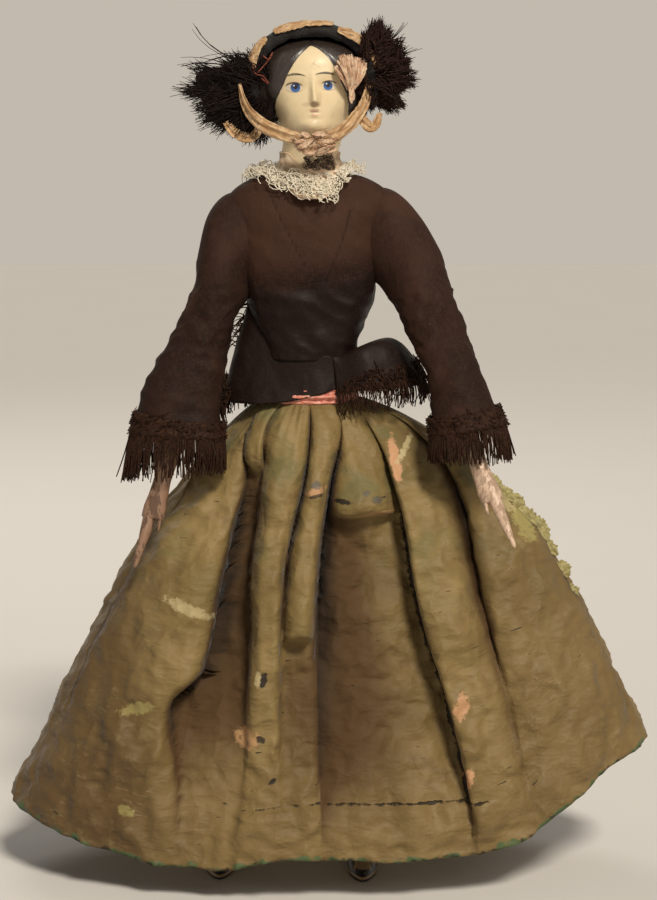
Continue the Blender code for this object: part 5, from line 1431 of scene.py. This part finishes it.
waistline = [(z, Vector((wide, deep))) for z, wide, deep in bodiceForm["outline"]]


def flapPoint(name, form, degrees, share, out=0.0):
    shape = form[name]
    top = flow(shape["hang"], degrees)
    wide, deep = flow(waistline, top) + Vector((-0.2, -0.2))
    c, s = math.cos(math.radians(degrees)), math.sin(math.radians(degrees))
    outward = Vector((c / wide, s / deep, 0)).normalized()
    reach = flow(shape["reach"], degrees) * share ** shape["flare"] + out
    point = Vector((wide * c, deep * s, top)) + outward * reach
    point.z -= (top - flow(shape["rim"], degrees)) * share
    point.z += flow(shape["swell"], degrees) * math.sin(math.pi * min(share, 1) ** shape["peak"]) ** 0.8
    return point + outward * noise.noise(point * 0.14) * 0.8 * share


def makeFlap(name, form):
    (first, last), fringed = form[name]["ends"], form[name]["fringed"]
    columns = max(24, round((last - first) * 0.6))

    def place(u, v):
        degrees = first + (last - first) * u
        return flapPoint(name, form, degrees, 1 - v), 0.0, form[name]["satin"]

    bm = layGrid(columns, 26, place, ("seam", "satin"))
    faceOut(bm, Vector((0, 0, 190)))
    flap = addPiece(f"hip_flap_{name}", bm, flapSilk, 0.6)
    settle(flap, "figure", "brown_silk", f"jacket_flap_{name}")
    threads = []
    count = round((fringed[1] - fringed[0]) * 1.5)
    for i in range(count):
        degrees = fringed[0] + (fringed[1] - fringed[0]) * (i + dice.uniform(-0.3, 0.3)) / count
        top = flapPoint(name, form, degrees, 0.96, 0.5)
        outward = Vector((top.x, top.y, 0)).normalized()
        length = form["fringe"] * dice.uniform(0.8, 1.15)
        sway = Vector((dice.gauss(0, 0.13), dice.gauss(0, 0.1), 0))
        threads.append(hangThread(top, -upward, sway, length, outward, 1.1, 2.4))
    for i in range(70 if name == "right" else 0):  # fringe of the open side slit, seen under the arm
        degrees = 168 + dice.uniform(-9, 9)
        top = flapPoint(name, form, degrees, dice.uniform(0.02, 0.6), 0.3)
        way = Vector((dice.uniform(-1.2, 0.6), dice.uniform(-0.5, 0.5), dice.uniform(-1.0, 1.0))).normalized()
        threads.append([(top + way * 1.6 * k - upward * 0.22 * k * k, 1.0 - 0.15 * k) for k in range(4)])
    for i in range(count * 2):  # braid sewn along the edge, as short loops
        degrees = dice.uniform(*fringed)
        share = dice.uniform(0.86, 1.0)
        start = flapPoint(name, form, degrees, share, 0.4)
        middle = flapPoint(name, form, degrees + dice.gauss(0, 0.8), share + dice.gauss(0, 0.03), 1.3)
        end = flapPoint(name, form, degrees + dice.gauss(0, 1.5), share + dice.gauss(0, 0.03), 0.5)
        threads.append([(start, 1.2), (middle, 1.2), (end, 1.0)])
    fringe = addThreads(f"flap_threads_{name}", threads, 0.25, brownThread)
    settle(fringe, "figure", "brown_fringe", f"flap_fringe_{name}")


for flapName in ("right", "left", "back"):
    makeFlap(flapName, flapForm)
print("jacket sewn")


# Neck dressing

neckForm = {"top": 267.0, "low": 258.4, "point": 250.6, "pointX": 1.0}
lace = {
    "flat": (150, 14), "mesh": 1.0, "pale": (0.84, 0.78, 0.64), "warm": (0.74, 0.64, 0.46), "ruffles": 9,
    "loops": 215,
}
muslin = makeMuslin("folded_muslin", (0.70, 0.54, 0.37), (0.60, 0.41, 0.26), (0.32, 0.20, 0.12))
darkNetThread = makeThread("dark_net_thread", (0.03, 0.018, 0.012), (0.09, 0.06, 0.04))


def neckRadius(z):
    share = ease(266, 254, z)
    return 10.6 + 3.6 * share, 10.1 + 3.4 * share


def makeNeckCloth(form):
    def place(u, v):
        angle = math.pi / 2 + 2 * math.pi * u
        c, s = math.cos(angle), math.sin(angle)
        front = ease(0.55, 1.0, -s)
        low = form["low"] + (form["point"] - form["low"]) * front**1.3
        high = form["top"] - 4.5 * front**2
        z = low + (high - low) * v
        wide, deep = neckRadius(z)
        drape = 2.0 * front * ease(261, 251, z)
        point = Vector((wide * c + form["pointX"] * front * (1 - v), (deep + drape) * s, z))
        crease = 0.5 * math.sin(v * 15 + 6 * abs(c)) * (0.4 + front) + noise.noise(point * 0.4) * 0.6
        return point + Vector((c, s, 0)) * (0.4 + crease * 0.6)

    bm = layGrid(120, 30, place)
    faceOut(bm, Vector((0, 0, 258)))
    cloth = addPiece("neck_kerchief", bm, muslin, 0.4)
    settle(cloth, "figure", "cream_cloth", "neck_cloth")
    threads = []
    for i in range(90):  # a scrap of dark net at the throat
        a, z = math.radians(dice.uniform(262, 316)), dice.uniform(261.2, 267.4)
        wide, deep = neckRadius(z)
        out = Vector((math.cos(a), math.sin(a), 0))
        at = Vector((wide * math.cos(a), deep * math.sin(a), z)) + out * (1.3 + 2.0 * ease(261, 251, z))
        across = upward.cross(out)
        size, lean = dice.uniform(0.4, 0.9), dice.uniform(0, 3)
        loop = []
        for k in range(7):
            turn = lean + k
            loop.append((at + (across * math.cos(turn) + upward * math.sin(turn) * 0.7) * size, 1.0))
        threads.append(loop)
    scrap = settle(addThreads("dark_net_scrap", threads, 0.15, darkNetThread), "figure", "black_net")


# a frill that falls into a point in front, fullest at the right of the neck and scant at the left
def lacePoint(form, angle, share):
    c, s = math.cos(angle), math.sin(angle)
    front = ease(0.25, 1.0, -s)
    side = ease(0.5, 0.95, abs(c))
    scant = ease(0.1, 0.8, c)
    ruffle = math.cos(form["ruffles"] * angle + 1.5 * math.sin(3 * angle)) * 1.5 * share
    top = 263.2 - 3.2 * front
    tip = ease(0.86, 1.0, math.sin(-angle + 0.22)) if s < 0 else 0.0
    fall = (4.6 + 2.2 * front + 3.6 * tip) * (1 - 0.4 * scant)
    reach = share * (9.0 * side + 2.6 * (1 - side)) * (1.1 - 0.4 * scant)
    wide, deep = 12.6 + reach, 11.4 + reach * 0.6 + 2.6 * front * share
    z = top - fall * share**1.15 + ruffle * 0.75
    point = Vector((wide * c + 3.0 * front * share, deep * s - 1.4 * front, z))
    crush = noise.noise(point * 0.35) * 1.3 * share
    return point + Vector((c, s, 0.6)) * (crush + 0.3)


def makeLaceCollar(form):
    finish = makeLace(form)
    threadFinish = makeThread("lace_thread", (0.66, 0.58, 0.44), (0.88, 0.82, 0.68), 0.1)

    def place(u, v):
        return lacePoint(form, math.pi / 2 + 2 * math.pi * u, 1 - v), abs(0.5 - v) * 2

    bm = layGrid(230, 24, place, ("laceEdge",))
    faceOut(bm, Vector((0, 0, 250)))
    collar = addPiece("lace_frill", bm, finish)
    settle(collar, "figure", "white_lace", "lace_collar")
    threads = []
    for i in range(form["loops"]):  # loops and loose ends of torn lace thread, large at the right of the neck
        angle = dice.uniform(math.pi * 0.95, math.pi * 2.0)
        side = math.cos(angle)
        if side > 0.3 and i % 2:
            continue
        share = dice.uniform(0.3, 1.08)
        at = lacePoint(form, angle, share) + Vector((side * 0.5, -0.6, 0.2))
        reach = dice.uniform(1.3, 3.0) if side < -0.35 else dice.uniform(0.6, 1.6)
        tilt = dice.uniform(0, 2 * math.pi)
        flat = Vector((math.cos(tilt), -0.3, math.sin(tilt)))
        over = Vector((-math.sin(tilt), -0.2, math.cos(tilt)))
        arc = dice.uniform(2.5, 6.4)
        squash = dice.uniform(0.25, 0.8)
        loop = []
        for k in range(10):
            a = arc * k / 9
            loop.append((at + (flat * math.cos(a) + over * math.sin(a) * squash) * reach, 1.0))
        threads.append(loop)
    loops = addThreads("lace_loops", threads, 0.2, threadFinish)
    settle(loops, "figure", "white_lace")


makeNeckCloth(neckForm)
makeLaceCollar(lace)
print("kerchief and lace laid")


# Headdress

rollForm = {
    "across": 21.75, "up": 19.9, "x": 1.2, "y": -6.2, "z": 291.0, "square": 0.86, "radius": 2.6,
    "ends": (-22, 202),
}  # fmt: skip


def rollPoint(degrees, form=rollForm):
    c, s = math.cos(math.radians(degrees)), math.sin(math.radians(degrees))
    x = form["across"] * math.copysign(abs(c) ** form["square"], c)
    z = form["up"] * math.copysign(abs(s) ** form["square"], s)
    return Vector((form["x"] + x, form["y"], form["z"] + z))


# a point on the roll's surface: degrees along it, turn round it from the front, and height over it
def onRoll(degrees, turn, over):
    ahead = (rollPoint(degrees + 1) - rollPoint(degrees - 1)).normalized()
    out = ahead.cross(backward).normalized()
    centre = rollPoint(degrees)
    if out.dot(centre - Vector((rollForm["x"], rollForm["y"], rollForm["z"]))) < 0:
        out = -out
    a = math.radians(turn)
    return centre + (-backward * math.cos(a) + out * math.sin(a)) * (rollForm["radius"] + over)


def makeRoll(form):
    first, last = form["ends"]

    def place(u, v):
        degrees = first + (last - first) * u
        lump = noise.noise(Vector((u * 26, math.cos(2 * math.pi * v), math.sin(2 * math.pi * v)))) * 0.55
        taper = 1 - 0.5 * ease(0.06, 0.0, u) - 0.5 * ease(0.94, 1.0, u)
        surface = onRoll(degrees, 360 * v, lump - 0.1)
        return rollPoint(degrees) + (surface - rollPoint(degrees)) * taper

    bm = layGrid(170, 26, place)
    closeEnds(bm)
    roll = settle(addPiece("padded_roll", bm, netting), "figure", "black_net", "brim_roll")


# turns of ribbon lying along the roll as pointed leaves: degrees along it, turn round it, half turn covered
wrapForm = {
    "top": {"degrees": (75, 123), "turn": 62, "half": 58},
    "right": {"degrees": (132, 170), "turn": 40, "half": 52},
    "left": {"degrees": (14, 70), "turn": 38, "half": 46},
}


def makeWrap(name, form):
    first, last = form["degrees"]

    def place(u, v):
        edge = (v - 0.5) * 2
        leaf = math.sin(math.pi * (0.04 + 0.92 * u)) ** 0.6
        frayed = 1 + 0.2 * noise.noise(Vector((u * 11, edge, first)))
        degrees = first + (last - first) * u
        turn = form["turn"] + edge * form["half"] * leaf * frayed + 16 * math.sin(u * 4.4)
        ripple = 0.3 * noise.noise(Vector((u * 8, edge * 3, first))) + 0.16 * math.sin(edge * 8 + u * 5)
        curled = 0.5 * ease(0.7, 1.0, abs(edge)) * noise.noise(Vector((u * 5, edge, first + 3)))
        return onRoll(degrees, turn, ripple + 0.75 + curled)

    bm = layGrid(60, 14, place)
    faceOut(bm, rollPoint((first + last) / 2))
    piece = addPiece(f"wound_ribbon_{name}", bm, creamRibbon, 0.25)
    settle(piece, "figure", "cream_ribbon", f"roll_ribbon_{name}")


# a bonnet of net from the roll to the back of the head
capForm = {
    # y, centre height, half width and half height
    "rings": (
        (-5.6, 290.6, 21.2, 19.4), (0, 290.8, 20.4, 19.0), (7, 291.2, 19.3, 18.2), (13, 291.6, 17.0, 15.6),
        (17.5, 292, 12.6, 11.2), (20.2, 292.2, 7.0, 6.2), (21.2, 292.2, 0, 0),
    ),
    "ends": (-40, 220), "flat": (0.066, 0.052), "cutArea": 0.0029,
}  # fmt: skip


def makeCap(form):
    stops = along([(r[2], -r[0], r[1], r[3]) for r in form["rings"]])
    first, last = (math.radians(e) for e in form["ends"])

    def place(u, v):
        wide, ahead, middle, tall = flow(stops, v)
        angle = first + (last - first) * u
        c, s = math.cos(angle), math.sin(angle)
        square = rollForm["square"] + (1 - rollForm["square"]) * v
        x = max(wide, 0) * math.copysign(abs(c) ** square, c)
        z = max(tall, 0) * math.copysign(abs(s) ** square, s)
        point = Vector((rollForm["x"] + x, -ahead, middle + z))
        loose = ease(1.0, 0.6, v)
        pleat = 0.4 * math.sin(u * 60 + math.sin(v * 5)) * loose + noise.noise(point * 0.2) * 0.9 * loose
        return point + Vector((c, 0, s)) * max(pleat, -0.4)

    bm = layGrid(120, 44, place)
    faceOut(bm, Vector((1, 4, 290)))
    cap = settle(addPiece("net_cap", bm, netting, 0.4), "figure", "black_net", "cap")


makeRoll(rollForm)
for wrapName, wrap in wrapForm.items():
    makeWrap(wrapName, wrap)
makeCap(capForm)

tuftForm = {
    # each spreads from a pivot: degrees from the doll's left and reach
    "right": {
        "pivot": (-13, -4.5, 290), "deep": 4.0, "clumps": 130, "each": 22, "stray": 1.5, "spread": 10,
        "reach": (
            (108, 12.5), (125, 14.7), (141, 18), (156, 23.5), (164, 28.5), (171, 33), (178, 34), (186, 32),
            (196, 29.5), (210, 25.5), (226, 21.8), (244, 19.4), (264, 18),
        ),
    },
    "left": {
        "pivot": (20, -4, 296), "deep": 5.0, "clumps": 110, "each": 26, "stray": 0.8, "spread": 14,
        "reach": (
            (-98, 14.5), (-73, 13.5), (-54, 17.5), (-33, 18), (-7, 18), (12, 16.2), (42, 17.2), (57, 18.8),
            (69, 19.8), (81, 17.4), (94, 15), (112, 12.4),
        ),
    },
}  # fmt: skip


def bend(first, middle, last, count, thick, thin):
    points = []
    for k in range(count):
        s = k / (count - 1)
        points.append((first * (1 - s) ** 2 + middle * 2 * s * (1 - s) + last * s * s, thick - thin * s))
    return points


def makeTuft(side, form, finish):
    pivot, reach = Vector(form["pivot"]), form["reach"]
    first, last = reach[0][0], reach[-1][0]

    def inside(degrees, share, depth):
        a = math.radians(degrees)
        run = flow(reach, degrees) * share
        return pivot + Vector((math.cos(a) * run, depth, math.sin(a) * run))

    def scatter(size):
        return Vector((dice.gauss(0, size), dice.gauss(0, size), dice.gauss(0, size)))

    threads = []
    for i in range(form["clumps"]):  # strands that draw together towards each tip
        aim, end = dice.uniform(first, last), dice.uniform(0.7, 1.04)
        depth = dice.gauss(-0.2, 0.55) * form["deep"]
        tip = inside(aim, end, depth)
        for k in range(form["each"]):
            around = aim + dice.gauss(0, form["spread"])
            inward = end * dice.uniform(0.25, 0.75)
            start = inside(around, inward, depth + dice.gauss(0, 1.2))
            middle = (start + tip) / 2 + scatter(0.8)
            threads.append(bend(start, middle, tip + scatter(form["stray"]), 4, 1.15, 0.8))

    def place(u, v):
        degrees = first + (last - first) * u
        share = math.sin(math.pi * v) * (0.84 + 0.1 * noise.noise(Vector((u * 12, v * 4, 0))))
        return inside(degrees, share, -math.cos(math.pi * v) * form["deep"] * 0.8)

    bm = layGrid(60, 30, place)
    closeEnds(bm)
    settle(addPiece(f"plume_core_{side}", bm, finish), "figure", "dark_plume", f"side_tuft_{side}")
    settle(addThreads(f"plume_strands_{side}", threads, 0.22, finish), "figure", "dark_plume")


tuftThread = makeThread("brown_plume_thread", (0.009, 0.0045, 0.0035), (0.040, 0.016, 0.010), 0.0)
makeTuft("right", tuftForm["right"], plumeThread)
makeTuft("left", tuftForm["left"], tuftThread)

# stray hairs that stand well out of the fans
strayForm = (
    ((-22, -6, 299), (-36, -7, 302), (-41, -7, 312)), ((-24, -6, 297), (-38, -7, 301), (-47, -6, 299)),
    ((-22, -6, 302), (-30, -7, 303), (-38, -8, 300)), ((24, -5, 303), (31, -5, 308), (35, -5, 314)),
    ((30, -6, 300), (35, -6, 303), (39, -6, 304)),
)
strays = []
for first, middle, last in strayForm:
    for repeat in range(4):
        shift = Vector((dice.gauss(0, 0.8), dice.gauss(0, 0.6), dice.gauss(0, 0.9)))
        strays.append(bend(Vector(first), Vector(middle) + shift / 2, Vector(last) + shift, 6, 1.0, 0.6))
settle(addThreads("stray_plume_hairs", strays, 0.17, plumeThread), "figure", "dark_plume")

# Ribbons under the chin

chinForm = {
    "right": (
        (-25.3, -10, 291.6), (-23.9, -12, 286), (-21.2, -13.6, 280.8), (-17.1, -15.6, 277),
        (-11.7, -17.6, 274.6), (-5.9, -19.2, 272.8), (0.5, -19.9, 271.8),
    ),
    "left": (
        (21.6, -10, 291), (20.2, -12, 285.2), (16.8, -14.6, 279.8), (13, -16.8, 276), (9.2, -18.6, 273.4),
        (4, -19.8, 272), (-1, -20, 271.6),
    ),
    "rightWidths": (0.8, 3.4, 4.6, 5.0, 5.0, 4.4, 3.0), "leftWidths": (3.4, 4.8, 5.2, 5.0, 4.8, 4.0, 3.0),
}  # fmt: skip
creamThread = makeThread("frayed_ribbon_thread", creams["deep"], creams["pale"])
shredRibbon = makeRibbon("faded_pink_ribbon", {
    "pale": (0.74, 0.55, 0.37), "warm": (0.60, 0.37, 0.23), "deep": (0.32, 0.13, 0.065),
    "stain": (0.13, 0.05, 0.025),
})  # fmt: skip


# the way a ribbon round the face lies flat
def aroundFace(points):
    return [(x * 0.05, -0.85, 0.15) for x, _, _ in points]


def makeChinRibbon(form):
    bm = strip(form["right"], form["rightWidths"], aroundFace(form["right"]), 90, 14, 0.5, 0.1, 1.0, 0.3)
    left = strip(form["left"], form["leftWidths"], aroundFace(form["left"]), 90, 14, 0.6, 0.12, 4.0, 0.35)
    joinInto(bm, left)
    faceOut(bm, Vector((0, 0, 280)))
    settle(addPiece("chin_ribbon_torn", bm, creamRibbon, 0.2), "figure", "cream_ribbon", "chin_ribbon")


bowForm = {
    "points": (
        (-6.6, -19.4, 272.4), (-3.0, -20.3, 270.0), (1.4, -20.8, 268.8), (5.4, -20.6, 269.6),
        (8.4, -19.8, 272.6),
    ),
    "widths": (1.0, 4.6, 5.6, 5.0, 2.0), "shreds": 52,
}  # fmt: skip


# the bow under the chin has worn to shreds
def makeBow(form):
    bm = strip(form["points"], form["widths"], [(0, -1, -0.1)] * 5, 50, 14, 0.8, 0.4, 8.0, 0.4)
    threads = []
    for i in range(form["shreds"]):
        at = Vector((dice.uniform(-5, 8), dice.uniform(-21.8, -20.4), 271.2 + dice.gauss(0, 1.8)))
        way = Vector((dice.choice((-1, 1)), dice.gauss(0, 0.15), dice.gauss(0, 0.5))).normalized()
        run = dice.uniform(1.4, 3.8)
        arch = Vector((0, -dice.uniform(0.1, 0.9), dice.gauss(0, 0.7)))
        half = way * run
        ends = (at - half, at - half * 0.3 + arch, at + half * 0.4 + arch * 0.7, at + half)
        if i % 3:
            threads.append([(end, 1.0) for end in ends])
        else:
            wide = dice.uniform(1.2, 2.8)
            facing = [(way.z, -1, dice.gauss(0, 0.6))] * 4
            joinInto(bm, strip(ends, (0.4, wide, wide * 0.8, 0.5), facing, 18, 5, 0.3, 0.3, i * 3.1, 0.2))
    faceOut(bm, Vector((0, 0, 268)))
    settle(addPiece("torn_bow", bm, shredRibbon, 0.15), "figure", "cream_ribbon", "chin_bow")
    settle(addThreads("bow_threads", threads, 0.11, creamThread), "figure", "cream_ribbon")


loopForm = {
    "right": (
        (-30.4, -8, 278), (-27, -9.2, 274.2), (-22.4, -9.8, 272.4), (-19.2, -9.4, 274),
        (-17.6, -8.8, 278.4),
    ),
    "left": (
        (17.4, -9.4, 282.4), (19.6, -10.6, 278.4), (21.8, -10.8, 276.2), (24.0, -10, 277.4),
        (25.6, -8.8, 281.2),
    ),
}


def makeLoop(side, points):
    bm = strip(points, (2.4, 3.6, 3.8, 3.4, 1.6), [(0, -1, 0.35)] * 5, 50, 10, 0.6, 0.1, 12.0, 0.35)
    faceOut(bm, Vector((0, 0, 276)))
    piece = addPiece(f"jaw_loop_{side}", bm, creamRibbon, 0.2)
    settle(piece, "figure", "cream_ribbon", f"ribbon_loop_{side}")


rosetteForm = {"at": (14.7, -13.4, 295.6), "out": (0.5, -0.86, 0.08), "petals": 8}


# tall folded petals spread from below like a shell, over a few frayed ends
def makeRosette(form):
    at, out = Vector(form["at"]), Vector(form["out"]).normalized()
    side = upward.cross(-out).normalized()
    side = side if side.x > 0 else -side
    up = out.cross(side) if out.cross(side).z > 0 else side.cross(out)
    root = at - up * 6.0
    bm = bmesh.new()
    bm.loops.layers.uv.new("UVMap")
    for i in range(form["petals"]):
        turn = -0.55 + 1.1 * i / (form["petals"] - 1)
        way = side * math.sin(turn) + up * math.cos(turn)
        size = 12.6 - 9 * turn * turn + dice.uniform(-0.8, 0.8)
        arch = out * (1.5 + 0.7 * math.sin(i * 2.3))
        start = root + side * turn * 2
        petal = way * size
        points = (
            start, start + petal * 0.35 + arch, start + petal * 0.75 + arch,
            start + petal, start + petal * 0.8,
        )  # fmt: skip
        facing = [out + side * math.sin(i * 1.9) * 0.9] * 5
        joinInto(bm, strip(points, (1.0, 2.2, 2.9, 2.0, 1.2), facing, 26, 8, 0.3, 0.25, i * 2.7, 0.3))
    tail = (root + up * 1.5, root - up * 1.0 + out * 0.8, root - up * 3.4 + out * 0.4, root - up * 5.0)
    joinInto(bm, strip(tail, (1.6, 2.6, 2.2, 0.8), [out] * 4, 24, 8, 0.4, 0.4, 31.0, 0.3))
    faceOut(bm, at - out * 6)
    settle(addPiece("folded_rosette", bm, shredRibbon, 0.18), "figure", "cream_ribbon", "rosette")


makeChinRibbon(chinForm)
makeBow(bowForm)
for sideName, loopPoints in loopForm.items():
    makeLoop(sideName, loopPoints)
makeRosette(rosetteForm)

# red-brown sewing thread lying over the hair
threadForm = (
    (
        (-16.6, -13.2, 301.6), (-14.4, -14.2, 300.4), (-13.2, -14.6, 302.8), (-15.2, -14.4, 299.4),
        (-18.6, -13.4, 295.6),
    ),
    (
        (-20.4, -11.6, 297.8), (-19.2, -12.4, 295.2), (-16.6, -14.0, 294.4), (-14.6, -15.0, 291.8),
        (-17.2, -13.8, 293.6),
    ),
)  # fmt: skip
redThread = makeThread("red_sewing_thread", (0.16, 0.035, 0.02), (0.34, 0.10, 0.06))
sewing = []
for points in threadForm:
    stops = [(i / (len(points) - 1), Vector(p)) for i, p in enumerate(points)]
    sewing.append([(flow(stops, k / 30), 1.0) for k in range(31)])
settle(addThreads("loose_sewing_thread", sewing, 0.2, redThread), "figure", "cream_ribbon")
print("headdress dressed")


# Stage, light and camera

stageForm = {"floor": (0.72, 0.69, 0.65), "wall": (0.54, 0.49, 0.42), "skyStrength": 0.14}


def makeStage(form):
    bm = bmesh.new()
    bmesh.ops.create_grid(bm, x_segments=1, y_segments=1, size=3.0)
    mesh = bpy.data.meshes.new("studio_floor")
    bm.to_mesh(mesh)
    bm.free()
    finish = Finish("pale_floor", {"Roughness": 0.85, "Specular IOR Level": 0.2})
    mottled = tuple(c * 0.97 for c in form["floor"])
    finish.give("Base Color", finish.paint(finish.cloud(90, 2), form["floor"], mottled))
    mesh.materials.append(finish.material)
    floor = bpy.data.objects.new("studio_floor", mesh)
    bpy.context.scene.collection.objects.link(floor)

    world = bpy.data.worlds.new("studio")
    bpy.context.scene.world = world
    world.use_nodes = True
    nodes, links = world.node_tree.nodes, world.node_tree.links
    light = nodes["Background"]
    light.inputs["Color"].default_value = (1.0, 0.95, 0.88, 1)
    light.inputs["Strength"].default_value = form["skyStrength"]
    seen = nodes.new("ShaderNodeBackground")
    seen.inputs["Color"].default_value = (*form["wall"], 1)
    rays = nodes.new("ShaderNodeLightPath")
    either = nodes.new("ShaderNodeMath")
    either.operation = "MAXIMUM"
    links.new(rays.outputs["Is Camera Ray"], either.inputs[0])
    links.new(rays.outputs["Is Glossy Ray"], either.inputs[1])
    anyRay = nodes.new("ShaderNodeMath")
    anyRay.operation = "MAXIMUM"
    links.new(either.outputs[0], anyRay.inputs[0])
    links.new(rays.outputs["Is Transmission Ray"], anyRay.inputs[1])
    mix = nodes.new("ShaderNodeMixShader")
    links.new(anyRay.outputs[0], mix.inputs[0])
    links.new(light.outputs[0], mix.inputs[1])
    links.new(seen.outputs[0], mix.inputs[2])
    links.new(mix.outputs[0], nodes["World Output"].inputs[0])


def addLamp(name, kind, at, aim, size, power, colour):
    lamp = bpy.data.lights.new(name, kind)
    if kind == "SUN":
        lamp.angle = size
    else:
        lamp.shape = "DISK"
        lamp.size = size
    lamp.energy = power
    lamp.color = colour
    made = bpy.data.objects.new(name, lamp)
    made.location = at
    made.rotation_mode = "QUATERNION"
    made.rotation_quaternion = (Vector(aim) - Vector(at)).to_track_quat("-Z", "Y")
    bpy.context.scene.collection.objects.link(made)


cameraForm = {"at": (-0.00014, -0.9867, 0.300), "pitch": 8.219, "lens": 107.9}


def makeCamera(form):
    lens = bpy.data.cameras.new("photo_view")
    lens.lens = form["lens"]
    lens.sensor_width = 36
    made = bpy.data.objects.new("photo_view", lens)
    made.location = form["at"]
    made.rotation_euler = (math.radians(90 - form["pitch"]), 0, 0)
    bpy.context.scene.collection.objects.link(made)
    bpy.context.scene.camera = made


makeStage(stageForm)
addLamp("window_light", "SUN", (0.32, -0.9, 0.95), (0, 0, 0), 0.2, 2.8, (1.0, 0.93, 0.82))
addLamp("key_softbox", "AREA", (0.6, -0.95, 0.75), (0, 0, 0.16), 0.5, 2.0, (1.0, 0.94, 0.85))
addLamp("fill_softbox", "AREA", (-0.9, -0.9, 0.5), (0, 0, 0.16), 0.8, 0.5, (1.0, 0.96, 0.9))
addLamp("back_softbox", "AREA", (-0.3, 0.9, 0.9), (0, 0, 0.2), 0.7, 3, (1.0, 0.96, 0.9))
makeCamera(cameraForm)
bpy.context.scene.view_settings.view_transform = "Standard"
